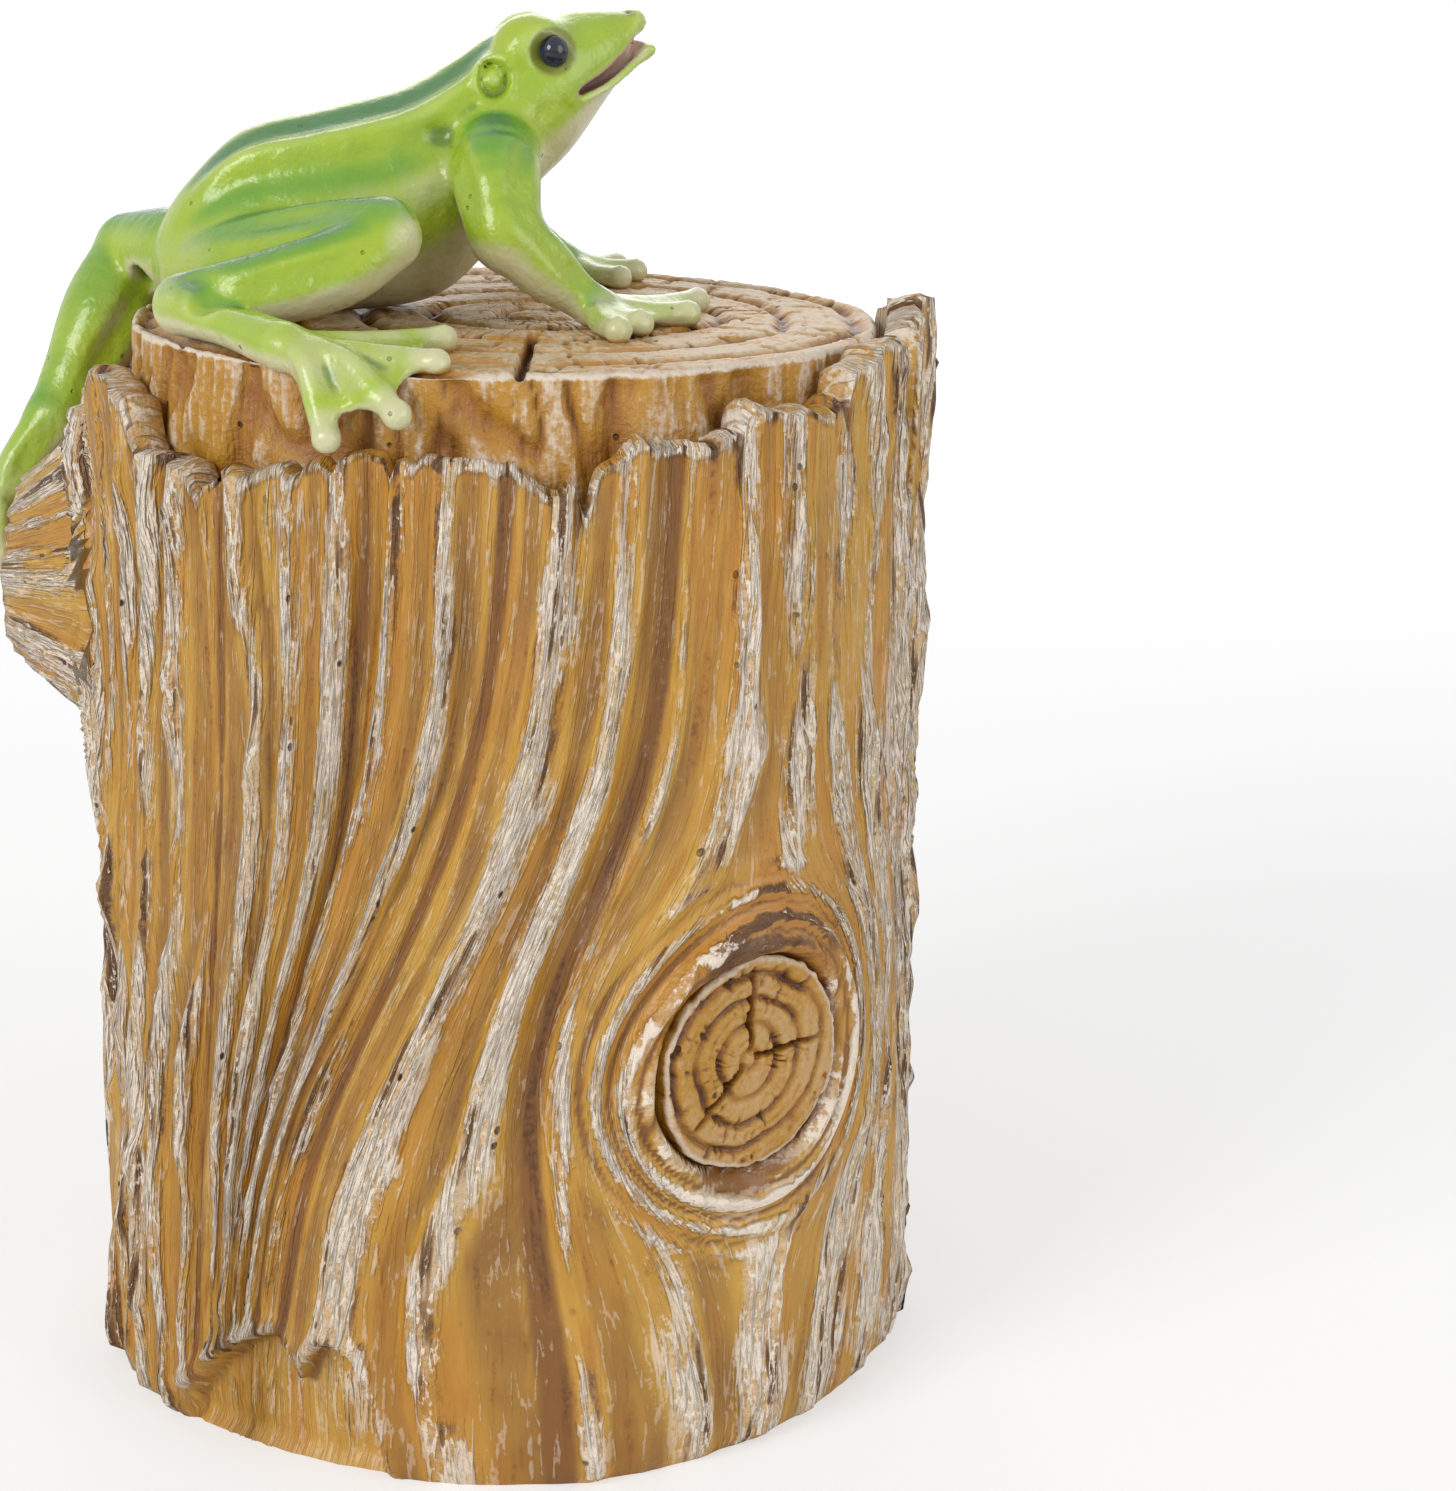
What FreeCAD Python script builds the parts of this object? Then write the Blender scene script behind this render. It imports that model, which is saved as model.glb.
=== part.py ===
import os
import FreeCAD
import Part
from math import copysign, cos, exp, pi, radians, sin

V = FreeCAD.Vector

# ---------------------------------------------------------------------------
# Driving dimensions, millimetres. The stump stands on z = 0 about the Z axis.
# Bearings are degrees round the trunk from the front (-Y) towards +X.
# The base cover slides out towards the back, +Y.
# ---------------------------------------------------------------------------
trunkRadius = 48.7          # mean radius of the bark
trunkHeight = 128.4         # tallest bark slab
topHeight = 126.0           # rim of the sawn top
coreRadius = 43.4           # heartwood that stands inside the bark
coreFlare = 0.9             # the heartwood widens this much down to the ledge

# (height, radius gained there) of the bark from foot to crown
barkProfile = [(0.0, 0.0), (4.0, 0.7), (14.0, 0.9), (26.0, 0.65), (38.0, 0.38), (50.0, 0.2),
               (62.0, 0.08), (74.0, 0.0), (88.0, 0.1), (102.0, 0.25), (114.0, 0.32),
               (128.4, 0.4)]
ridges = 48                 # ridges of bark round the trunk
ridgeDepth = 0.85           # half the height of a ridge over its furrows
ridgeUnevenness = 0.35      # share by which ridges differ in height
# The bark is calmer on this bearing
calmBearing = 102.0
calmSpread = 24.0
calmShare = 0.5
# Sideways sweeps of the grain towards the foot: (bearing, degrees, spread left, spread right)
sweeps = [(40.0, 34.0, 32.0, 19.0), (100.0, -9.0, 15.0, 15.0), (-140.0, 16.0, 26.0, 26.0)]
sweepMiddle = 56.0          # height where the grain leans the most
sweepLength = 14.0
# Places that the grain parts round: (bearing, height, half the width of the parting)
partings = [(71.0, 48.0, 17.0), (-58.0, 94.5, 17.0), (-112.0, 26.0, 7.0)]
partingFade = 4.0           # it dies out this many half widths to the side
# Broad gouges that follow the grain: (bearing at the crown, half width in degrees)
gouges = [(37.5, 2.6), (58.5, 2.4), (18.0, 1.9), (-6.0, 1.7)]
gougeDepth = 1.9
gougeCalm = 0.6             # share of the ridges' height that a gouge takes away
gougeFoot = 24.0            # below this height the gouges fade out
# Slow swells of the trunk: (waves round it, depth, turn per millimetre of height, start)
swells = [(3, 0.45, 0.010, 0.4), (5, 0.4, -0.016, 1.9)]

# Crown of the bark: (bearing, height) corners of the broken upper edge
crown = [(-180, 119.0), (-171, 121.5), (-162, 117.5), (-150, 119.5), (-139, 116.5),
         (-127, 120.0), (-113, 117.0), (-100, 119.0), (-88, 116.5), (-72, 118.0),
         (-52, 116.0), (-38.5, 116.0), (-37, 120.8), (-30, 122.0), (-22, 120.5),
         (-20, 115.5), (-6, 114.0), (8, 116.0), (24, 118.0), (36, 117.0), (46, 115.2),
         (53, 119.8), (58, 118.6), (66, 119.4), (67, 121.6), (78, 122.2), (83, 120.8),
         (85, 120.0), (86, 125.6), (93, 127.0), (101.5, 125.6), (104, 122.0), (107, 108.0),
         (110.5, 109.5), (113, 127.4), (121, 128.4), (133, 126.8), (137, 121.0),
         (148, 118.5), (159, 121.0), (170, 117.5)]

# Growth rings turned into the sawn top, and the drying split across them
pithX, pithY = 3.0, 2.5
ringRadii = [12.0, 21.0, 29.0, 36.0]
ringWidth = 1.5
ringDepth = 1.1
splitBearing = 33.0
splitWidth = 1.1

# Knot on the right of the front
knotBearing = 71.0
knotHeight = 48.0
knotFace = 48.2             # distance of its sawn face from the Z axis
knotProfile = [(0.0, 0.5), (5.0, 0.4), (5.8, -0.6), (6.6, 0.3), (10.9, 0.1), (12.2, -1.1),
               (13.1, 1.6), (14.4, 1.8), (16.8, -2.4)]
knotSplits = [(88.0, 11.0), (2.0, 10.5), (128.0, 8.5), (222.0, 9.0), (264.0, 10.0)]

# Sawn branch stub on the left, with a foot hung over its end
stubBearing = -58.0
stubHeight = 94.5
stubReach = 59.2
stubRootRadius = 24.0
stubEndRadius = 10.8

# Hollow in the bark at the foot: (distance along the bark, height)
hollowBearing = 3.0
hollowFloor = 45.2          # distance of its back from the Z axis
hollowOutline = [(-15.0, -1.0), (-13.0, 4.5), (-9.0, 9.5), (-4.0, 14.0), (0.4, 15.8),
                 (2.6, 13.2), (3.6, 10.6), (4.6, 13.6), (7.4, 17.2), (10.0, 15.0),
                 (12.6, 8.0), (15.0, -1.0)]

# Key cavity and the track of the base cover
cavityHalfWidth = 30.5
cavityFront = -28.0
cavityBack = 32.6
cavityTop = 101.0
cavityCorner = 5.0
cavityDraft = 1.2
lipHeight = 3.0
grooveHeight = 3.8
grooveDepth = 3.2

# Base cover
coverThickness = 3.2
coverGap = 0.3
coverRearRadius = 48.0
coverCorner = 4.0
thumbRadius = 26.0
thumbDepth = 1.3
thumbFrom = 36.0

# The frog is drawn facing +X with its left side towards +Y, then turned about Z.
frogTurn = 38.0
# Trunk of the body: (x, middle height, half height, middle y, half width)
torso = [(-40.8, 131.0, 1.8, 3.6, 2.2), (-39.6, 131.8, 4.2, 3.6, 5.0),
         (-36.6, 133.4, 6.9, 3.7, 7.8), (-30.0, 135.8, 9.8, 3.9, 10.6),
         (-20.5, 137.0, 11.2, 4.1, 12.3), (-12.0, 138.5, 12.0, 4.3, 12.0),
         (-6.5, 141.0, 12.3, 4.5, 11.0), (-1.0, 145.8, 11.2, 4.8, 9.8),
         (4.0, 149.6, 9.4, 5.0, 9.0), (8.6, 152.6, 7.4, 5.3, 7.6),
         (12.6, 155.6, 4.6, 5.5, 5.0), (15.6, 157.6, 2.7, 5.8, 2.7),
         (17.0, 157.8, 1.3, 5.9, 1.2)]
# Mouth slot between the jaws: side view corners (x, z)
mouth = [(8.4, 150.9), (9.2, 152.3), (19.0, 161.6), (19.0, 158.2)]
# Eye bumps, sockets, eyes and ear discs: (x, distance from the middle plane, z, radius)
eyeBrow = (3.4, 4.4, 154.2, 3.9)
eyeSocket = (5.9, 9.0, 155.2, 2.5)
eyeBead = (5.9, 6.6, 155.2, 1.7)
eardrum = (-0.8, 7.6, 152.2, 2.3)
headMiddle = 5.0
# Rounded ends: (share of the radius, how far out along the axis in radii)
domeSteps = [(1.0, 0.0), (0.87, 0.5), (0.5, 0.87), (0.0, 1.0)]
torsoSides = 16
limbSides = 10
toeSides = 6

# Limbs: runs of (x, y, z, radius), each ending in a rounded joint
limbs = {
    "right upper arm": [(-1.2, -2.0, 145.6, 4.8), (-1.4, -8.6, 142.2, 5.0),
                        (-0.6, -12.2, 136.4, 4.0)],
    "right forearm": [(-0.8, -12.4, 137.4, 3.4), (3.4, -11.8, 133.2, 3.6),
                      (7.2, -10.8, 130.0, 2.6), (9.6, -10.6, 128.3, 2.4)],
    "left upper arm": [(-1.2, 11.6, 145.6, 4.8), (-0.8, 17.6, 142.2, 4.9),
                       (0.4, 21.6, 136.4, 3.9)],
    "left forearm": [(0.2, 21.4, 137.2, 3.4), (4.4, 24.2, 133.4, 3.4),
                     (8.2, 26.4, 130.2, 2.6), (10.6, 27.2, 128.3, 2.4)],
    "right thigh": [(-34.0, 1.0, 134.0, 6.8), (-27.0, -5.6, 136.0, 7.0),
                    (-19.0, -13.4, 137.8, 5.0), (-12.8, -19.2, 138.4, 3.7)],
    "right shin": [(-12.6, -20.2, 137.6, 3.5), (-19.0, -21.4, 134.6, 4.0),
                   (-27.0, -21.8, 132.0, 3.4), (-35.0, -21.2, 129.7, 3.0)],
    "right foot": [(-35.2, -21.4, 129.4, 2.8), (-30.0, -28.0, 128.6, 2.4),
                   (-24.2, -35.8, 127.5, 2.7)],
    "left thigh": [(-33.0, 7.0, 134.0, 6.8), (-39.0, 13.6, 134.4, 5.6),
                   (-46.4, 22.2, 133.6, 3.7)],
    "left shin": [(-46.8, 22.4, 133.2, 3.6), (-50.4, 18.6, 125.6, 4.0),
                  (-53.4, 14.0, 118.0, 3.3), (-55.2, 10.2, 111.8, 3.2)],
    "left foot": [(-55.4, 10.2, 111.8, 3.1), (-59.4, 8.4, 106.4, 2.6),
                  (-60.6, 7.8, 103.4, 2.4)],
}
# Toes: the limb they grow from, then (x, y, z) of the middle joint and of the tip
toes = [
    ("right forearm", (16.5, -3.2, 127.2), (22.4, 2.4, 127.3)),
    ("right forearm", (15.4, -9.6, 127.2), (20.4, -8.6, 127.3)),
    ("right forearm", (12.4, -13.4, 127.2), (14.4, -16.4, 127.3)),
    ("right forearm", (10.0, -16.6, 127.2), (11.6, -21.6, 127.3)),
    ("left forearm", (13.4, 22.6, 127.2), (17.0, 19.0, 127.3)),
    ("left forearm", (15.2, 26.6, 127.2), (19.4, 26.0, 127.3)),
    ("left forearm", (14.4, 30.6, 127.2), (17.4, 31.8, 127.3)),
    ("left forearm", (10.0, 32.6, 127.2), (11.0, 36.6, 127.3)),
    ("right foot", (-15.6, -31.6, 127.2), (-7.6, -28.8, 127.3)),
    ("right foot", (-15.4, -39.6, 127.0), (-8.4, -42.8, 125.8)),
    ("right foot", (-17.6, -41.0, 126.8), (-12.4, -46.2, 121.6)),
    ("right foot", (-21.8, -40.2, 126.6), (-19.6, -44.2, 118.8)),
    ("left foot", (-61.0, 3.6, 102.4), (-60.9, 1.6, 98.4)),
    ("left foot", (-61.2, 7.6, 101.4), (-60.9, 7.0, 96.2)),
    ("left foot", (-60.6, 11.6, 102.4), (-60.3, 12.6, 98.0)),
    ("left foot", (-58.4, 14.6, 104.4), (-58.6, 17.4, 101.4)),
]
toeRootRadius = 1.6
toeMiddleRadius = 1.2
toeTipRadius = 1.5


def around(bearing, distance, height):
    a = radians(bearing)
    return V(distance * sin(a), -distance * cos(a), height)


def outward(bearing):
    return around(bearing, 1.0, 0.0)


def prism(points, way):
    return Part.Face(Part.makePolygon(points + points[:1])).extrude(way)


def turned(profile, origin, axis, side):
    # A solid of revolution from (radius, distance along the axis) corners
    corners = [origin + side * r + axis * d for r, d in profile]
    face = Part.Face(Part.makePolygon(corners + corners[:1]))
    return face.revolve(origin, axis, 360)


def roundedPlate(x0, y0, x1, y1, corner, z, thick):
    plate = Part.makeBox(x1 - x0, y1 - y0, thick, V(x0, y0, z))
    upright = [e for e in plate.Edges
               if abs(e.Vertexes[0].Z - e.Vertexes[1].Z) > thick / 2]
    return plate.makeFillet(corner, upright)


def roundedOutline(halfWidth, y0, y1, corner, z):
    plate = roundedPlate(-halfWidth, y0, halfWidth, y1, corner, z, 1.0)
    bottom = min(plate.Faces, key=lambda f: f.CenterOfMass.z)
    return bottom.OuterWire


# ------------------------------------------------------------------ the stump
def between(bearing, other):
    # Degrees from one bearing to another, the short way round
    return (bearing - other + 180) % 360 - 180


def nearness(bearing, other, spread):
    return exp(-(between(bearing, other) / spread) ** 2)


def partedFrom(away, above, size):
    # How far beside a knot a line of grain passes that was bound to pass this far beside it
    near = 0.0
    far = away + 2 * size
    for halving in range(30):
        tried = (near + far) / 2
        fade = exp(-(tried / (partingFade * size)) ** 2)
        undisturbed = tried * (1 - fade * size ** 2 / max(tried ** 2 + above ** 2, size ** 2))
        if undisturbed < away:
            near = tried
        else:
            far = tried
    return near


def grainBearing(home, height):
    # Where a line of grain that left the crown on its home bearing has got to
    lean = 0.0
    for middle, angle, left, right in sweeps:
        lean += angle * nearness(home, middle, left if between(home, middle) < 0 else right)
    bearing = home - lean / (1 + exp((height - sweepMiddle) / sweepLength))
    half = pi * trunkRadius
    for spot, level, size in partings:
        away = between(bearing, spot) / 180 * half
        parted = partedFrom(abs(away), height - level, size)
        bearing = spot + copysign(parted, away) / half * 180
    return bearing


def barkCorners(height, gain):
    corners = []
    for i in range(2 * ridges):
        home = -180 + 180 * (i + 0.3 * sin(2.4 * i)) / ridges
        bearing = grainBearing(home, height)
        depth = ridgeDepth * (1 + ridgeUnevenness * sin(1.7 * i))
        depth *= 1 - calmShare * nearness(bearing, calmBearing, calmSpread)
        gouge = max(nearness(home, middle, width) for middle, width in gouges)
        r = trunkRadius + gain + depth * (1 - 2 * (i % 2)) * (1 - gougeCalm * gouge)
        r -= gougeDepth * gouge * min(height / gougeFoot, 1.0)
        for waves, swell, turn, start in swells:
            r += swell * cos(waves * radians(bearing) + turn * height + start)
        corners.append(around(bearing, r, height))
    return corners


def facetedSolid(outlines):
    faces = [Part.Face(Part.makePolygon(line + line[:1])) for line in outlines]
    return Part.Solid(Part.Shell(faces))


def facetedLoft(rows):
    # Flat triangles between rows of corners, closed by the first and the last row
    outlines = [rows[0], rows[-1]]
    for low, high in zip(rows, rows[1:]):
        for i in range(len(low)):
            outlines.append([low[i - 1], low[i], high[i]])
            outlines.append([low[i - 1], high[i], high[i - 1]])
    return facetedSolid(outlines)


def crownLid():
    # Everything above the bark's broken edge, as one ring
    inner = coreRadius - 4.0
    outer = trunkRadius + 8.0
    lid = trunkHeight + 3.0
    outlines = []
    closed = crown + [(crown[0][0] + 360, crown[0][1])]
    for (b0, z0), (b1, z1) in zip(closed, closed[1:]):
        near0, near1 = around(b0, inner, z0), around(b1, inner, z1)
        far0, far1 = around(b0, outer, z0 - 1.5), around(b1, outer, z1 - 1.5)
        nearLid0, nearLid1 = around(b0, inner, lid), around(b1, inner, lid)
        farLid0, farLid1 = around(b0, outer, lid), around(b1, outer, lid)
        outlines += [[near0, near1, far1], [near0, far1, far0],
                     [near0, near1, nearLid1, nearLid0], [far0, far1, farLid1, farLid0],
                     [nearLid0, nearLid1, farLid1, farLid0]]
    return facetedSolid(outlines)


def makeTrunk():
    bark = facetedLoft([barkCorners(height, gain) for height, gain in barkProfile])
    bark = bark.cut(Part.makeCylinder(coreRadius, 9.0, V(0, 0, topHeight - 4.0)))
    bark = bark.cut(crownLid())
    core = Part.makeCone(coreRadius + coreFlare, coreRadius, topHeight - 108.0, V(0, 0, 108.0))
    stub = Part.makeCone(stubRootRadius, stubEndRadius, stubReach - 42.0,
                         around(stubBearing, 42.0, stubHeight), outward(stubBearing))
    return bark.fuse(core).fuse(stub)


def makeKnot():
    origin = around(knotBearing, knotFace, knotHeight)
    profile = knotProfile + [(knotProfile[-1][0], -9.0), (0.0, -9.0)]
    return turned(profile, origin, outward(knotBearing), V(0, 0, 1))


def knotCracks():
    cracks = []
    origin = around(knotBearing, knotFace - 0.9, knotHeight)
    for angle, reach in knotSplits:
        crack = Part.makeBox(reach, 0.7, 4.0, V(0, -0.35, 0))
        crack.rotate(V(0, 0, 0), V(0, 0, 1), angle)
        crack.Placement = FreeCAD.Placement(
            origin, FreeCAD.Rotation(around(knotBearing + 90, 1, 0), V(0, 0, 1),
                                     outward(knotBearing), "ZXY")).multiply(crack.Placement)
        cracks.append(crack)
    return cracks


def topGrooves():
    grooves = []
    for radius in ringRadii:
        profile = [(radius - ringWidth / 2, 0.4), (radius, -ringDepth),
                   (radius + ringWidth / 2, 0.4)]
        grooves.append(turned(profile, V(pithX, pithY, topHeight), V(0, 0, 1), V(1, 0, 0)))
    split = Part.makeBox(splitWidth, 30.0, 12.0, V(-splitWidth / 2, 16.0, topHeight - 7.0))
    split.rotate(V(0, 0, 0), V(0, 0, 1), 180 + splitBearing)
    grooves.append(split.cut(Part.makeCylinder(coreRadius - 2.0, 9.0, V(0, 0, topHeight - 11.0))))
    return grooves


def stubGrooves():
    face = around(stubBearing, stubReach, stubHeight)
    way = outward(stubBearing)
    ring = turned([(5.6, 0.3), (6.2, -0.8), (6.8, 0.3)], face, way, V(0, 0, 1))
    crack = Part.makeBox(3.0, 0.9, 9.0, V(-1.4, -0.45, -10.0))
    crack.rotate(V(0, 0, 0), V(0, 0, 1), stubBearing - 90)
    crack.translate(face)
    return [ring, crack]


def barkHollow():
    near = [around(hollowBearing, hollowFloor, z) + around(hollowBearing + 90, s, 0)
            for s, z in hollowOutline]
    return prism(near, outward(hollowBearing) * 12.0)


def makeCavity():
    low = roundedOutline(cavityHalfWidth, cavityFront, cavityBack, cavityCorner,
                         lipHeight + grooveHeight - 0.5)
    high = roundedOutline(cavityHalfWidth - cavityDraft, cavityFront + cavityDraft,
                          cavityBack - cavityDraft, cavityCorner - 0.6, cavityTop)
    cavity = Part.makeLoft([low, high], True, True)
    mouthOut = Part.makeBox(2 * cavityHalfWidth, 90.0, lipHeight + 1.0,
                            V(-cavityHalfWidth, cavityFront, -0.5))
    track = roundedPlate(-cavityHalfWidth - grooveDepth, cavityFront - grooveDepth,
                         cavityHalfWidth + grooveDepth, 70.0, coverCorner,
                         lipHeight, grooveHeight)
    return cavity.fuse(mouthOut).fuse(track)


trunk = makeTrunk()
stump = trunk.fuse(makeKnot())
for cutter in knotCracks() + topGrooves() + stubGrooves() + [barkHollow(), makeCavity()]:
    stump = stump.cut(cutter)


# ------------------------------------------------------------- the base cover
def makeCover():
    side = cavityHalfWidth + grooveDepth - coverGap
    front = cavityFront - grooveDepth + coverGap
    low = lipHeight + coverGap
    plate = roundedPlate(-side, front, side, 70.0, coverCorner, low, coverThickness)
    plate = plate.common(Part.makeCylinder(coverRearRadius, 12.0, V(0, 0, 0)))
    thumb = Part.makeCylinder(thumbRadius, 24.0, V(-12.0, 0, 0), V(1, 0, 0))
    thumb.translate(V(0, thumbFrom, low + thumbDepth - thumbRadius))
    return plate.cut(thumb)


cover = makeCover()


# ------------------------------------------------------------------- the frog
def oval(x, middle, halfHeight, across, halfWidth):
    corners = []
    for i in range(torsoSides):
        a = 2 * pi * (i + 0.5) / torsoSides
        corners.append(V(x, across + halfWidth * cos(a), middle + halfHeight * sin(a)))
    return corners


def ring(centre, way, side, radius, sides):
    other = way.cross(side)
    corners = []
    for i in range(sides):
        a = 2 * pi * i / sides
        corners.append(centre + side * (radius * cos(a)) + other * (radius * sin(a)))
    return corners


def tube(run, sides):
    # A limb lofted through a ring at each joint, with both ends rounded off
    spots = [V(x, y, z) for x, y, z, radius in run]
    ways = [(b - a).normalize() for a, b in zip(spots, spots[1:])]
    stations = []
    for share, step in reversed(domeSteps[1:-1]):
        stations.append((spots[0] - ways[0] * (run[0][3] * step), ways[0], run[0][3] * share))
    for i, centre in enumerate(spots):
        way = ways[max(i - 1, 0)] + ways[min(i, len(ways) - 1)]
        stations.append((centre, way.normalize(), run[i][3]))
    for share, step in domeSteps[1:-1]:
        stations.append((spots[-1] + ways[-1] * (run[-1][3] * step), ways[-1],
                         run[-1][3] * share))
    side = ways[0].cross(V(0.3, 0.1, 1.0))
    rings = []
    for centre, way, radius in stations:
        side = (side - way * side.dot(way)).normalize()
        rings.append(ring(centre, way, side, radius, sides))
    return facetedLoft(rings)


def toe(limb, middle, tip):
    root = limbs[limb][-1][:3]
    return tube([(*root, toeRootRadius), (*middle, toeMiddleRadius), (*tip, toeTipRadius)],
                toeSides)


def dome(foot, way, radius, height):
    # A round-topped boss that stands on a shaft of the same radius
    low = foot - way * height
    return tube([(*low, radius), (*foot, radius)], limbSides)


def bothSides(spot, height):
    x, away, z, radius = spot
    return [dome(V(x, headMiddle + side * away, z), V(0, side, 0), radius, height)
            for side in (-1, 1)]


def makeFrog():
    body = facetedLoft([oval(*section) for section in torso])
    x, away, z, radius = eyeBrow
    solids = [dome(V(x, headMiddle + side * away, z), V(0, 0, 1), radius, radius * 1.5)
              for side in (-1, 1)]
    solids += [tube(run, limbSides) for run in limbs.values()]
    solids += [toe(*place) for place in toes]
    solids += bothSides(eardrum, 1.2)
    frog = body.multiFuse(solids)
    jaws = prism([V(x, -10.0, z) for x, z in mouth], V(0, 30.0, 0))
    return frog.cut(jaws)


def turnFrog(shape):
    shape.rotate(V(0, 0, 0), V(0, 0, 1), frogTurn)
    return shape


frog = turnFrog(makeFrog())
eyes = [turnFrog(bead) for bead in bothSides(eyeBead, eyeBead[3])]
sockets = [turnFrog(socket) for socket in bothSides(eyeSocket, -eyeSocket[3])]
for cutter in sockets + eyes:
    frog = frog.cut(cutter)
frog = frog.cut(trunk)

nodes = {
    "stump_casting": stump,
    "frog_casting": frog,
    "eye_right": eyes[0],
    "eye_left": eyes[1],
    "base_cover": cover,
}

os.makedirs("parts", exist_ok=True)
for name, shape in nodes.items():
    box = shape.BoundBox
    print(name, "solids", len(shape.Solids), "valid", shape.isValid(),
          "volume", round(shape.Volume, 1),
          "box", [round(v, 2) for v in (box.XMin, box.YMin, box.ZMin,
                                        box.XMax, box.YMax, box.ZMax)])
    shape.exportStep(os.path.join("parts", name + ".step"))
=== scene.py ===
import math
import bmesh
import bpy
import numpy as np
from mathutils import Matrix, Vector


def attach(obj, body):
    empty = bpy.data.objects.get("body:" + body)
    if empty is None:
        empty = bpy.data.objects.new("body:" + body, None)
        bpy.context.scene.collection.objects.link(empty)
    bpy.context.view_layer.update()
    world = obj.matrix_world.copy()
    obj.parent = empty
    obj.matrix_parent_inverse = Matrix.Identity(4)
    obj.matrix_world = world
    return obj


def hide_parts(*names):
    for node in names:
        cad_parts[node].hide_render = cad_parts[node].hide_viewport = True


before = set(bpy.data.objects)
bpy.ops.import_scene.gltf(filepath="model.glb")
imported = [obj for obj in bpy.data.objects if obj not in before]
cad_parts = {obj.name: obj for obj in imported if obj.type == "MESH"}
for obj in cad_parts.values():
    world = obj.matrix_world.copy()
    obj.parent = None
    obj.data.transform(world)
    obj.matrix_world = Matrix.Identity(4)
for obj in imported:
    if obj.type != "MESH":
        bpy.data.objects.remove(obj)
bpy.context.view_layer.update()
mm = 0.001                       # every size below is in millimetres until a mesh is made
latticeRows = 97                 # how many cells of v the noise has before it repeats
print("frame loaded")


def ease(low, high, value):
    t = np.clip((value - low) / (high - low), 0, 1)
    return t * t * (3 - 2 * t)


def bell(value, middle, width):
    return np.exp(-((value - middle) / width) ** 2)


def lattice(u, v, count, seed):
    # Smooth noise from -1 to 1 that repeats every `count` cells of u
    table = np.random.default_rng(seed).uniform(-1, 1, (count, latticeRows))
    i, j = np.floor(u).astype(int), np.floor(v).astype(int)
    fu, fv = u - i, v - j
    fu, fv = fu * fu * (3 - 2 * fu), fv * fv * (3 - 2 * fv)
    a, b = i % count, (i + 1) % count
    c, d = j % latticeRows, (j + 1) % latticeRows
    low = table[a, c] * (1 - fu) + table[b, c] * fu
    high = table[a, d] * (1 - fu) + table[b, d] * fu
    return (low * (1 - fv) + high * fv) * 1.4


def melt(a, b, soft):
    # Joins two distances with a fillet
    h = np.clip(0.5 + 0.5 * (b - a) / soft, 0, 1)
    return b + (a - b) * h - soft * h * (1 - h)


def around(bearing, distance, height):
    # A place round the trunk: bearings run from the front, -Y, towards +X
    a = np.radians(bearing)
    return np.stack([distance * np.sin(a), -distance * np.cos(a),
                     height + 0 * a], axis=-1)


def meshFrom(name, places, faces, marks=None, smooth=True):
    # places in millimetres, faces a list of equal-length index rows or several such lists
    mesh = bpy.data.meshes.new(name)
    blocks = [np.asarray(f, int) for f in (faces if isinstance(faces, list) else [faces])]
    mesh.vertices.add(len(places))
    mesh.vertices.foreach_set("co", (np.asarray(places) * mm).astype(np.float32).ravel())
    loops = np.concatenate([b.ravel() for b in blocks])
    sizes = np.concatenate([np.full(len(b), b.shape[1]) for b in blocks])
    mesh.loops.add(len(loops))
    mesh.loops.foreach_set("vertex_index", loops.astype(np.int32))
    mesh.polygons.add(len(sizes))
    starts = np.concatenate([[0], np.cumsum(sizes)[:-1]])
    mesh.polygons.foreach_set("loop_start", starts.astype(np.int32))
    mesh.update(calc_edges=True)
    mesh.validate()
    mesh.polygons.foreach_set("use_smooth", np.full(len(mesh.polygons), smooth))
    for mark, values in (marks or {}).items():
        kind = "FLOAT_VECTOR" if values.ndim == 2 else "FLOAT"
        field = "vector" if values.ndim == 2 else "value"
        spot = mesh.attributes.new(mark, kind, "POINT")
        spot.data.foreach_set(field, values.astype(np.float32).ravel())
    return mesh


def addPiece(name, mesh, materials):
    piece = bpy.data.objects.new(name, mesh)
    bpy.context.scene.collection.objects.link(piece)
    for material in materials:
        mesh.materials.append(material)
    return piece


def tubeFaces(rows, columns, closeLow, closeHigh):
    # Quads of a grid wrapped round; each closed end turns into a fan on one more point
    r, c = np.meshgrid(np.arange(rows - 1), np.arange(columns), indexing="ij")
    a = r * columns + c
    b = r * columns + (c + 1) % columns
    faces = [np.stack([a, b, b + columns, a + columns], -1).reshape(-1, 4)]
    c = np.arange(columns)
    low = rows * columns
    if closeLow:
        faces.append(np.stack([(c + 1) % columns, c, np.full(columns, low)], -1))
    if closeHigh:
        last = (rows - 1) * columns
        tip = low + int(closeLow)
        faces.append(np.stack([last + c, last + (c + 1) % columns, np.full(columns, tip)], -1))
    return faces


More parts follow.
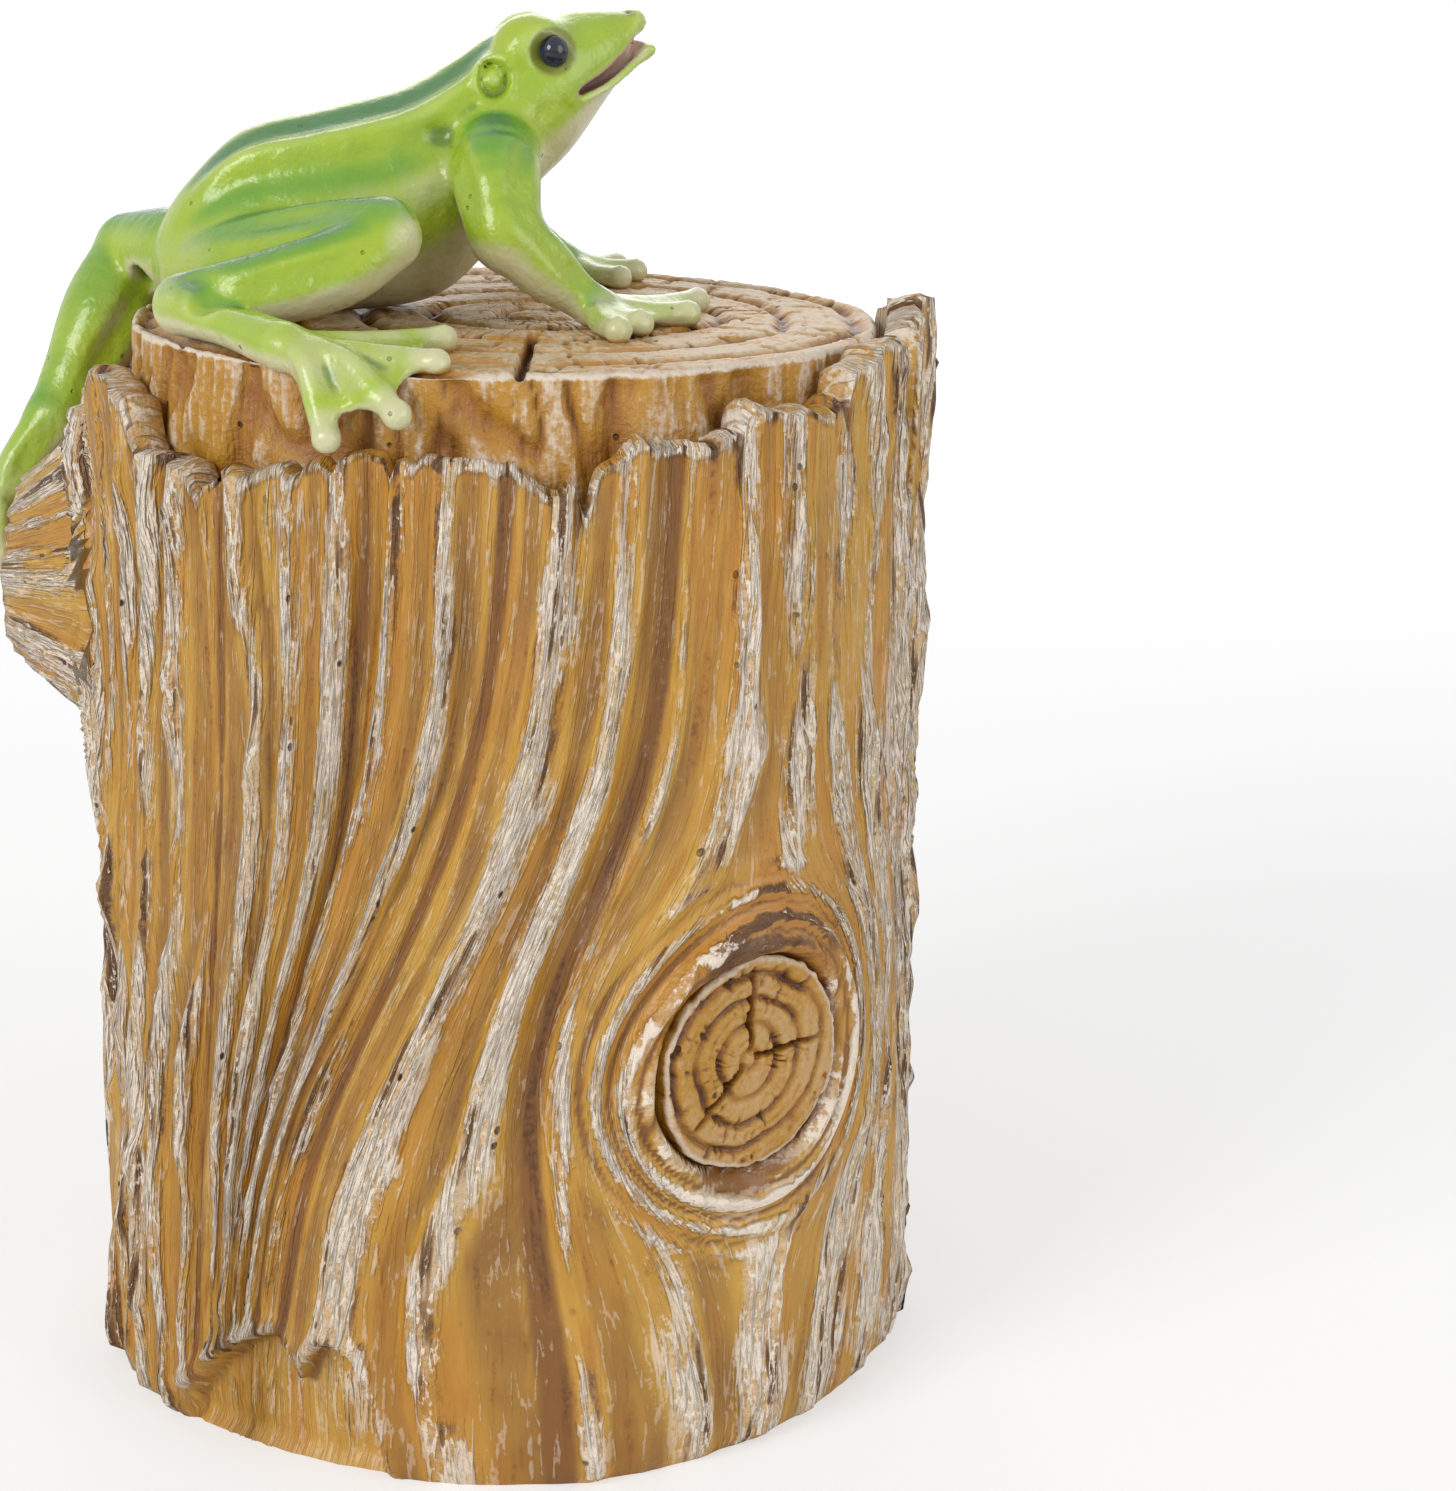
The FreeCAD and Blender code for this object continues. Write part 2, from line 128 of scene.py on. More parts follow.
class Pen:
    # Wraps a socket, so that an expression on values writes its own Math nodes
    def __init__(self, tree, socket=None):
        self.tree = tree
        self.socket = socket

    def node(self, kind, settings=None, out=0, **inputs):
        made = self.tree.nodes.new(kind)
        for key, value in (settings or {}).items():
            setattr(made, key, value)
        for key, value in inputs.items():
            place = int(key[1:]) if key[1:].isdigit() else key.replace("_", " ")
            self.fill(made.inputs[place], value)
        return Pen(self.tree, made.outputs[out])

    def fill(self, socket, value):
        if isinstance(value, Pen):
            self.tree.links.new(value.socket, socket)
        else:
            socket.default_value = value

    def maths(self, operation, *values):
        return self.node("ShaderNodeMath", {"operation": operation},
                         **{f"i{n}": value for n, value in enumerate(values)})

    def __add__(self, other):
        return self.maths("ADD", self, other)

    def __sub__(self, other):
        return self.maths("SUBTRACT", self, other)

    def __rsub__(self, other):
        return self.maths("SUBTRACT", other, self)

    def __mul__(self, other):
        return self.maths("MULTIPLY", self, other)

    def __truediv__(self, other):
        return self.maths("DIVIDE", self, other)

    def __pow__(self, other):
        return self.maths("POWER", self, other)

    __radd__ = __add__
    __rmul__ = __mul__

    def absolute(self):
        return self.maths("ABSOLUTE", self)

    def over(self, low, high):
        # 0 below low, 1 above high, eased between
        return self.node("ShaderNodeMapRange", {"interpolation_type": "SMOOTHSTEP"},
                         i0=self, i1=low, i2=high, i3=0.0, i4=1.0)

    def under(self, low, high):
        return 1 - self.over(low, high)


def colour(pen, factor, low, high):
    # Mixes two colours, each a triple or a wire
    full = [c if isinstance(c, Pen) else (*c, 1.0) for c in (low, high)]
    return pen.node("ShaderNodeMix", {"data_type": "RGBA"}, out=2,
                    i0=factor, i6=full[0], i7=full[1])


def stretched(pen, vector, scales):
    return pen.node("ShaderNodeVectorMath", {"operation": "MULTIPLY"}, i0=vector, i1=scales)


def speckle(pen, vector, scale, detail=2.0, rough=0.5):
    return pen.node("ShaderNodeTexNoise", {"noise_dimensions": "3D"}, Vector=vector,
                    Scale=scale, Detail=detail, Roughness=rough)


def attribute(pen, name, out=2):
    return pen.node("ShaderNodeAttribute", {"attribute_name": name}, out=out)


def finish(name, paint):
    # A material whose paint function returns a dictionary for the shader's sockets
    material = bpy.data.materials.new(name)
    material.use_nodes = True
    tree = material.node_tree
    shader = tree.nodes["Principled BSDF"]
    pen = Pen(tree)
    for socket, value in paint(pen).items():
        pen.fill(shader.inputs[socket], value)
    return material


def pinholes(pen, place, perMetre, share, size):
    # Casting pinholes: round spots in a share of the cells of a cell pattern
    cells = {"voronoi_dimensions": "3D", "feature": "F1"}
    spot = pen.node("ShaderNodeTexVoronoi", cells, Vector=place, Scale=perMetre)
    pick = pen.node("ShaderNodeTexVoronoi", cells, out=1, Vector=place, Scale=perMetre)
    chance = pen.node("ShaderNodeSeparateColor", i0=pick)
    return spot.under(size * 0.55, size) * chance.under(share, share + 0.01)


barkColours = {
    "ochre": (0.47, 0.205, 0.024), "honey": (0.55, 0.31, 0.048), "washAndShade": (0.19, 0.07, 0.014),
    "brown": (0.06, 0.019, 0.005), "brush": (0.92, 0.82, 0.70), "hole": (0.035, 0.011, 0.004),
}


def barkPaint(pen):
    grain = attribute(pen, "grainPlace", 1)
    crest, furrow = attribute(pen, "crest"), attribute(pen, "furrow")
    place = pen.node("ShaderNodeTexCoord", out=3)
    hair = speckle(pen, stretched(pen, grain, (1, 1, 0.09)), 1900.0, 2.0)
    streak = speckle(pen, stretched(pen, grain, (1, 1, 0.06)), 640.0, 3.0, 0.55)
    broad = speckle(pen, stretched(pen, grain, (1, 1, 0.13)), 190.0, 2.0)
    patch = speckle(pen, place, 65.0, 3.0, 0.6)
    crumb = speckle(pen, place, 1300.0, 3.0, 0.7)
    holes = pinholes(pen, stretched(pen, grain, (1, 1, 0.5)), 900.0, 0.05, 0.24)
    # Thin raised lines where the noise crosses its middle, grooves where it is high or low
    away = (streak - 0.5).absolute()
    lines = away.under(0.0, 0.06)
    hairs = (hair - 0.5).absolute().under(0.0, 0.09)
    grooves = away.over(0.09, 0.17)
    coarse = (crest * 1.3 - furrow * 0.5 + (patch - 0.5) * 2.0).over(0.0, 0.75)
    tone = (broad - 0.5) * 1.5 + (hair - 0.5) * 0.6 - grooves * 0.35 + 0.6
    wood = colour(pen, tone.over(0.1, 0.9), barkColours["ochre"], barkColours["honey"])
    # Wash pooled in the furrows and in random patches, with painted shade that deepens the
    # furrows
    dark = furrow * 1.15 + (broad - 0.5) * 0.9 + (patch - 0.5) * 0.6
    wood = colour(pen, dark.over(0.4, 1.15) * 0.9, wood, barkColours["washAndShade"])
    # Dark brown painted in the grooves: cracks, with painted shade in them
    crack = grooves * (coarse * 0.8 + (crumb - 0.5) * 1.2 + furrow * 0.5).over(0.22, 0.75)
    wood = colour(pen, crack * 0.85, wood, barkColours["brown"])
    brushed = lines * 0.66 + hairs * 0.42 + (crumb - 0.5) * 1.2 - grooves * 0.3
    brushed = (brushed + coarse * 0.55 + (patch - 0.5) * 0.9 - furrow * 0.25).over(0.58, 0.8)
    haze = (coarse * 0.8 + (crumb - 0.5) * 1.6 + (broad - 0.5) * 1.2).over(0.25, 1.1) * 0.52
    white = brushed.maths("MAXIMUM", brushed * (0.25 + coarse * 0.75), haze * (1 - crack))
    wood = colour(pen, white * 0.88, wood, barkColours["brush"])
    wood = colour(pen, holes * (0.2 + coarse * 0.8), wood, barkColours["hole"])
    height = (lines * 0.8 + hairs * 0.3) * (0.15 + coarse * 0.85) - grooves * coarse * 0.5
    height = height + crumb * (0.1 + coarse * 0.5) - holes * coarse + streak * 0.3
    return {
        "Base Color": wood,
        "Roughness": 0.36 + white * 0.3,
        "Normal": pen.node("ShaderNodeBump", Strength=1.0, Distance=0.0008, Height=height),
    }


endGrainColours = {
    "cream": (0.54, 0.36, 0.165), "tan": (0.46, 0.235, 0.046), "honey": (0.46, 0.225, 0.018),
    "brown": (0.10, 0.034, 0.008), "brush": (0.72, 0.62, 0.5), "hole": (0.035, 0.011, 0.004),
    "washAndShade": (0.29, 0.11, 0.016),
}


def endGrainPaint(pen):
    dip, hatch = attribute(pen, "ringDip"), attribute(pen, "hatch")
    face, bleached = attribute(pen, "face"), attribute(pen, "bleached")
    flute = attribute(pen, "wallDip")
    place = pen.node("ShaderNodeTexCoord", out=3)
    patch = speckle(pen, place, 110.0, 2.0)
    crumb = speckle(pen, place, 1300.0, 3.0, 0.65)
    fibre = speckle(pen, stretched(pen, place, (1, 1, 0.12)), 700.0, 3.0, 0.6)
    holes = pinholes(pen, place, 480.0, 0.1, 0.2)
    wood = colour(pen, (patch + (crumb - 0.5) * 0.4).over(0.36, 0.62),
                  endGrainColours["tan"], endGrainColours["cream"])
    wood = colour(pen, 1 - bleached * 0.85, wood, endGrainColours["honey"])
    side = colour(pen, (fibre + (patch - 0.5) * 0.6).over(0.36, 0.64),
                  endGrainColours["honey"], endGrainColours["tan"])
    # Wash in the wall's flutes, with painted shade in them
    side = colour(pen, (flute + (fibre - 0.5) * 0.8).over(0.1, 0.75) * 0.9, side,
                  endGrainColours["washAndShade"])
    wood = colour(pen, face, side, wood)
    edge = face * (1 - face) * 4
    ridges = (fibre * 1.1 + crumb * 0.8 + edge * 0.5 - flute * 0.9).over(0.82, 1.2)
    ridges = ridges * (1 - face)
    pale = (patch * 0.7 + crumb * 0.9 - dip * 0.9 - hatch * 0.6).over(0.6, 0.95) * face
    pale = pale * (0.15 + bleached * 0.5) + ridges * (0.3 + bleached * 0.5)
    pale = pale + edge * (crumb * 1.4 - 0.2)
    wood = colour(pen, pale, wood, endGrainColours["brush"])
    # Wash and dark brown in the ring grooves, nicks, cracks and wall flutes, with painted
    # shade in them
    dark = dip + hatch * 0.85 + (crumb - 0.5) * 0.4 + (1 - face) * (flute - 0.9)
    wood = colour(pen, dark.over(0.15, 0.5) * 0.85, wood, endGrainColours["washAndShade"])
    wood = colour(pen, dark.over(0.42, 0.9 - bleached * 0.15), wood, endGrainColours["brown"])
    wood = colour(pen, holes * 0.9, wood, endGrainColours["hole"])
    return {
        "Base Color": wood,
        "Roughness": 0.42 + pale * 0.25,
        "Normal": pen.node("ShaderNodeBump", Strength=0.9, Distance=0.0005,
                           Height=crumb * 0.6 - holes + fibre * (1 - face) * 1.2),
    }


def undersidePaint(pen):
    place = pen.node("ShaderNodeTexCoord", out=3)
    cloud = speckle(pen, place, 45.0, 3.0)
    crumb = speckle(pen, place, 700.0, 3.0, 0.6)
    specks = pinholes(pen, place, 300.0, 0.16, 0.14)
    wood = colour(pen, cloud.over(0.35, 0.68), (0.50, 0.25, 0.06), (0.62, 0.36, 0.10))
    wood = colour(pen, specks * 0.8, wood, (0.12, 0.05, 0.02))
    return {
        "Base Color": wood,
        "Roughness": 0.5 + (cloud - 0.5) * 0.3,
        "Normal": pen.node("ShaderNodeBump", Strength=0.35, Distance=0.0003,
                           Height=crumb - specks),
    }


def cavityPaint(pen):
    place = pen.node("ShaderNodeTexCoord", out=3)
    height = pen.node("ShaderNodeSeparateXYZ", out=2, i0=place)
    cloud = speckle(pen, place, 40.0, 3.0)
    runs = speckle(pen, stretched(pen, place, (1, 1, 0.15)), 420.0, 2.0)
    wall = colour(pen, cloud.over(0.35, 0.7), (0.40, 0.19, 0.05), (0.56, 0.31, 0.09))
    wall = colour(pen, height.over(0.086, 0.1), wall, (0.72, 0.60, 0.42))
    return {
        "Base Color": wall,
        "Roughness": 0.5 + (cloud - 0.5) * 0.3,
        "Normal": pen.node("ShaderNodeBump", Strength=0.3, Distance=0.0003, Height=runs),
    }


bark = finish("paintedBark", barkPaint)
endGrain = finish("paintedEndGrain", endGrainPaint)
underside = finish("undersideResin", undersidePaint)
cavityWall = finish("cavityResin", cavityPaint)
print("stump finishes made")


trunk = {
    "radius": 48.7, "gain": [(0, 0.0), (4, 0.7), (14, 0.9), (26, 0.65), (38, 0.38), (50, 0.2),
                             (62, 0.08), (74, 0.0), (88, 0.1), (102, 0.25), (114, 0.32),
                             (129, 0.4)],
    "ridges": 48, "ridgeDepth": 0.85, "unevenness": 0.35, "calmBearing": 102.0,
    "calmSpread": 24.0, "gouges": [(37.5, 2.6), (58.5, 2.4), (18.0, 1.9), (-6.0, 1.7)],
    "gougeDepth": 1.9, "ledge": 111.0, "crownInner": 44.3, "footRound": 0.8,
    "ledgeInner": 38.0,
    "columns": 620, "rows": 138,
}
crown = [(-180, 119.0), (-171, 121.5), (-162, 117.5), (-150, 119.5), (-139, 116.5),
         (-127, 120.0), (-113, 117.0), (-100, 119.0), (-88, 116.5), (-72, 118.0),
         (-52, 116.0), (-38.5, 116.0), (-37, 120.8), (-30, 122.0), (-22, 120.5),
         (-20, 115.5), (-6, 114.0), (8, 116.0), (24, 118.0), (36, 117.0), (46, 115.2),
         (53, 119.8), (58, 118.6), (66, 119.4), (67, 121.6), (78, 122.2), (83, 120.8),
         (85, 120.0), (86, 125.6), (93, 127.0), (101.5, 125.6), (104, 122.0), (107, 108.0),
         (110.5, 109.5), (113, 127.4), (121, 128.4), (133, 126.8), (137, 121.0),
         (148, 118.5), (159, 121.0), (170, 117.5), (180, 119.0)]
# Splits that run down from the crown: bearing, length, width in degrees, depth
crownSplits = [(46.5, 22, 0.9, 2.2), (84.0, 34, 0.8, 2.0), (105.5, 42, 1.1, 2.6),
               (112.0, 16, 0.7, 1.4), (-17.5, 30, 1.3, 2.6), (-37.6, 26, 0.9, 2.2),
               (22.0, 14, 0.8, 1.3), (9.0, 18, 0.8, 1.4), (-6.0, 12, 0.7, 1.2),
               (-90.0, 22, 1.0, 2.0), (-125.0, 18, 0.9, 1.8), (-158.0, 26, 1.1, 2.2),
               (140.0, 20, 1.0, 2.0), (168.0, 24, 1.0, 2.0), (66.5, 12, 0.6, 1.3)]
# Where the grain parts round something: its place, its size and how strongly it is painted,
# white on the rings and wash with painted shade between them
knot = {"bearing": 71.0, "height": 48.0, "size": 17.0, "brushed": 1.0, "washAndShadeRange": (0.3, 0.95),
        "face": 48.4, "lip": (14.6, 1.7), "lipRise": 1.5, "bed": (12.0, 13.8),
        "bedDepth": 3.0, "nicks": 10, "nickDepth": 0.8, "tornDepth": 1.9}
stub = {"bearing": -58.0, "height": 94.5, "size": 17.0, "reach": 57.9, "root": 24.0,
        "rootAt": 42.0, "end": 10.8, "fillet": 4.0, "coarse": 30, "small": 46}
eyelet = {"bearing": -112.0, "height": 26.0, "size": 7.0, "brushed": 0.4,
          "washAndShadeRange": (0.0, 0.9)}
whorlStep, whorlDepth = 3.3, 0.6
# The grain's sideways sweep: bearing, degrees of lean, spread to each side
sweeps = [(40.0, 34.0, 32.0, 19.0), (100.0, -9.0, 15.0, 15.0), (-140.0, 16.0, 26.0, 26.0)]
hollow = {"bearing": 3.0, "depth": 3.4,
          "outline": [(-15.0, -3.0), (-13.0, 4.5), (-9.0, 9.5), (-4.0, 14.0), (0.4, 15.8),
                      (2.6, 13.2), (3.6, 10.6), (4.6, 13.6), (7.4, 17.2), (10.0, 15.0),
                      (12.6, 8.0), (15.0, -3.0)]}
perDegree = math.pi * trunk["radius"] / 180
crownLevel = 118                 # about where the crown breaks off


def turnTo(bearing, other):
    # Degrees from one bearing to another, the short way round
    return (bearing - other + 180) % 360 - 180


def reach(bearing, height, spot):
    across = turnTo(bearing, spot["bearing"]) * perDegree
    return across, height - spot["height"]


def lean(home):
    total = 0 * home
    for middle, angle, left, right in sweeps:
        away = turnTo(home, middle)
        total = total + angle * bell(away, 0, np.where(away < 0, left, right))
    return total


def fall(height):
    return 1 / (1 + np.exp((height - 56) / 14))


def combed(bearing, height):
    # The bearing at which a line of grain left the crown
    pushed = np.array(bearing, float)
    for spot in (eyelet, stub, knot):
        across, up = reach(pushed, height, spot)
        size = spot["size"]
        fade = np.exp(-(across / (4 * size)) ** 2)
        pushed = pushed - across * fade * size ** 2 / np.maximum(
            across ** 2 + up ** 2, size ** 2) / perDegree
    dense = np.linspace(-260, 260, 3000)
    home = np.empty_like(pushed)
    for row in range(len(pushed)):
        arrived = dense - lean(dense) * fall(height[row, 0])
        home[row] = np.interp(pushed[row], arrived, dense)
    return home


def insideDistance(x, y, corners):
    # Distance to a closed outline, positive inside it
    best = np.full(x.shape, 1e9)
    inside = np.zeros(x.shape, bool)
    for (ax, ay), (bx, by) in zip(corners, corners[1:] + corners[:1]):
        t = np.clip(((x - ax) * (bx - ax) + (y - ay) * (by - ay))
                    / ((bx - ax) ** 2 + (by - ay) ** 2), 0, 1)
        best = np.minimum(best, np.hypot(x - ax - t * (bx - ax), y - ay - t * (by - ay)))
        crosses = ((ay > y) != (by > y)) & (x < (bx - ax) * (y - ay) / (by - ay + 1e-9) + ax)
        inside ^= crosses
    return np.where(inside, best, -best)


def keel(u, v, count, seed):
    # Sharp crests with smooth gouges between them, from 0 to 1
    away = np.sqrt(lattice(u, v, count, seed) ** 2 + 0.0009)
    return 1 - np.clip(away * 1.25, 0, 1) ** 0.8


def barkRelief(bearing, height):
    # Relief in millimetres, with marks for the painter
    home = combed(bearing, height)
    turnLength = 360 * perDegree

    def cells(width):
        return max(3, int(round(turnLength / width)))

    def along(width):
        return home / 360 * cells(width)

    # Numbered ridges, as evenly uneven as the timber's: sharp crests, smooth furrows
    number = np.arange(2 * trunk["ridges"])
    spots = -180 + 180 * (number + 0.3 * np.sin(2.4 * number)) / trunk["ridges"]
    strength = 1 + trunk["unevenness"] * np.sin(1.7 * number)
    waver = lattice(along(9), height / 22 + 4, cells(9), 5)
    wandered = home + 1.5 * waver
    rise = np.interp(wandered, spots, (number + 1) % 2, period=360) ** 1.35
    strength = np.interp(wandered, spots, strength, period=360)
    strength = strength * (1.0 + 0.6 * lattice(along(7), height / 24 + 1, cells(7), 6))
    calm = bell(turnTo(bearing, trunk["calmBearing"]), 0, trunk["calmSpread"])
    gouge = 0 * home
    for middle, wide in trunk["gouges"]:
        gouge = np.maximum(gouge, bell(turnTo(home, middle), 0, wide))
    second = keel(along(2.3), height / 24 + 9, cells(2.3), 12)
    third = keel(along(1.3), height / 13 + 2, cells(1.3), 13)
    broken = (1 - 0.85 * gouge) * (0.12 + 0.88 * rise)
    relief = 1.15 * trunk["ridgeDepth"] * strength * (2 * rise - 1) * (1 - 0.5 * calm)
    runsOut = np.clip(height / 24, 0, 1)
    relief = relief * (1 - 0.6 * gouge) - trunk["gougeDepth"] * gouge * runsOut
    relief = relief + (second - 0.5) * (0.15 + 1.5 * broken) + (third - 0.5) * 0.9 * broken
    crest = np.clip(rise * strength * 0.8 + second * 0.5 * broken - 0.15, 0, 1)
    crest = crest * (1 - 0.9 * gouge) + 0.25 * calm
    furrow = ease(0.45, 1.0, (1 - rise) * 0.95 + 0.2 * (1 - second)) * (1 - 0.6 * calm)
    furrow = np.maximum(furrow * 0.7, ease(0.55, 1.0, gouge))
    for middle, length, wide, depth in crownSplits:
        split = bell(turnTo(home, middle) + 0.8 * waver, 0, wide)
        split = split * ease(crownLevel - length, crownLevel + 1, height)
        relief = relief - depth * split
        furrow = np.maximum(furrow, 1.3 * ease(0.3, 0.9, split))
        crest = crest * (1 - ease(0.3, 0.8, split))
    return home, relief, crest, furrow


def whorl(b, z, spot, skin):
    # Ridges that ring a knot, fading into the grain
    relief, crest, furrow = skin
    across, up = reach(b, z, spot)
    far = np.hypot(across, up)
    clock = np.arctan2(up, across)
    bend = 0.6 * np.sin(3 * clock + 1) + 0.5 * np.sin(clock * 2 - far / 4)
    near = 1 - ease(spot["size"], spot["size"] * 1.55, far)
    rings = np.cos(2 * np.pi * (far + bend) / whorlStep)
    relief = relief * (1 - near) + near * whorlDepth * rings
    crest = crest * (1 - near) + spot["brushed"] * near * ease(0.2, 0.9, rings)
    # The troughs between the rings get wash and painted shade through the furrow mark
    furrow = furrow * (1 - near) + near * ease(*spot["washAndShadeRange"], -rings)
    return relief, crest, furrow


def knotLip(b, z, skin):
    # A raised lip round the knot, split and chipped, and torn open along its foot
    relief, crest, furrow = skin
    across, up = reach(b, z, knot)
    far = np.hypot(across, up)
    clock = np.degrees(np.arctan2(up, across))
    lip = bell(far, *knot["lip"])
    relief = relief + lip * knot["lipRise"] - (1 - ease(*knot["bed"], far)) * knot["bedDepth"]
    nicks = keel(clock / 360 * knot["nicks"] + 0 * far, far / 9, knot["nicks"], 61)
    nicks = nicks * ease(12.4, 13.6, far) * (1 - ease(15.5, 18.0, far))
    torn = bell(turnTo(clock, -95), 0, 42) * bell(far, 13.3, 1.2)
    relief = relief - knot["nickDepth"] * ease(0.5, 1.0, nicks) - knot["tornDepth"] * torn
    crest = np.maximum(crest, lip * 0.6) * (1 - 0.8 * ease(0.5, 1.0, nicks))
    rim = bell(far, 12.7, 0.7)
    furrow = np.max([furrow, 1.25 * rim, 1.3 * torn, 1.1 * ease(0.7, 1.0, nicks)], axis=0)
    return relief, crest, furrow


def stubCone(b, z, radius, skin):
    # The stub is a cone that the bark climbs, rounded where the two meet
    relief, crest, furrow = skin
    across, up = reach(b, z, stub)
    far = np.hypot(across, up)
    clock = np.degrees(np.arctan2(up, across))
    slope = (stub["reach"] - stub["rootAt"]) / (stub["root"] - stub["end"])
    cone = stub["reach"] - 0.4 - np.maximum(far - stub["end"], 0) * slope
    side = np.clip(turnTo(b, stub["bearing"]), -60, 60)
    cone = np.maximum(cone, 20) / np.cos(np.radians(side))
    climbed = -melt(-radius, -cone, stub["fillet"])
    flank = ease(0.3, 3.0, climbed - radius)
    coarse = keel(clock / 360 * stub["coarse"] + 0.04 * far, far / 16 + 3, stub["coarse"], 71)
    small = keel(clock / 360 * stub["small"] + 0.03 * far, far / 9 + 1, stub["small"], 72)
    ending = ease(stub["end"] - 1, stub["end"] + 5, far)
    climbing = ((coarse - 0.5) * 1.7 + (small - 0.5) * 0.7) * (0.45 + 0.55 * ending)
    relief = relief * (1 - flank) + climbing * flank
    relief = relief - 1.2 * (1 - ease(stub["end"] - 1.2, stub["end"] - 0.3, far))
    crest = crest * (1 - flank) + flank * np.clip(coarse * 0.9 + 0.2 * small - 0.2, 0, 1)
    furrow = furrow * (1 - flank) + 0.6 * flank * ease(0.5, 1.0, 1 - coarse)
    grain = around(clock, stub["size"] + 0 * far, 2 * far)
    return climbed, (relief, crest, furrow), flank > 0.5, grain


def footHollow(b, z, skin):
    # The bark mouth at the foot: sunk, with a lip along its outline
    relief, crest, furrow = skin
    inside = insideDistance(turnTo(b, hollow["bearing"]) * perDegree, z, hollow["outline"])
    sunk = ease(-0.5, 0.9, inside)
    lip = bell(inside, -1.0, 0.8)
    relief = relief * (1 - 0.55 * sunk) - hollow["depth"] * sunk + 0.7 * lip
    furrow = np.maximum(furrow * (1 - 0.6 * sunk), 0.75 * bell(inside, 0.6, 0.7))
    return relief, crest * (1 - sunk) + 0.5 * lip, furrow


def barkGrid():
    # Columns of points run down the grain, spread evenly between crown and foot
    dense = np.linspace(-180, 180, 7201)
    crowding = np.clip(1 - np.gradient(lean(dense), dense), 0.02, None)
    share = np.concatenate([[0], np.cumsum(0.45 + 0.55 * crowding[:-1])])
    columns, rows = np.arange(trunk["columns"]), np.arange(trunk["rows"])
    bearing = np.interp(columns / len(columns), share / share[-1], dense)
    jag = lattice(bearing / 360 * 170, 0 * bearing, 170, 21)
    plate = np.floor(bearing / 360 * 61 + 0.6 * np.sin(bearing * 0.31))
    chips = np.sin(plate * 7.3) * np.cos(plate * 3.1 + 1)
    atCrown = bearing - lean(bearing) * fall(crownLevel)
    top = np.interp(atCrown, *zip(*crown))
    top = top + 0.7 * jag + 0.7 * chips - 0.5
    for middle, _, wide, depth in crownSplits:
        top = top - depth * 1.5 * bell(turnTo(atCrown, middle), 0, wide)
    # Rows lie closer together at the height of the knot
    spread = np.linspace(0, 1, 2001)
    pile = np.cumsum(1 + 1.1 * bell(spread * crownLevel, knot["height"] - 2, 24))
    share = np.interp(rows / (len(rows) - 1), (pile - pile[0]) / (pile[-1] - pile[0]), spread)
    z = share[:, None] * top
    return bearing, top, bearing - lean(bearing) * fall(z), z


def crownRings(bearing, top, crownBearing, outer):
    # Rings that turn the bark over the crown and down to the ledge inside it
    inner, ledge, rings = trunk["crownInner"], trunk["ledge"], []
    for part, lift in ((0.25, 0.35), (0.5, 0.45), (0.78, 0.2), (1.0, -0.4)):
        rough = lattice(bearing / 360 * 120, part * 3 + 0 * bearing, 120, 23)
        across = outer + (inner - outer) * part + 0.5 * rough * (part < 1)
        rings.append(around(crownBearing, across, top + lift + 0.5 * rough))
    for part in (0.35, 0.7, 1.0):
        rings.append(around(crownBearing, inner - 0.4 * part,
                            top - 0.4 + (ledge - top) * part))
    level = 0 * bearing
    return rings + [around(crownBearing, trunk["ledgeInner"] + level, ledge + level)]


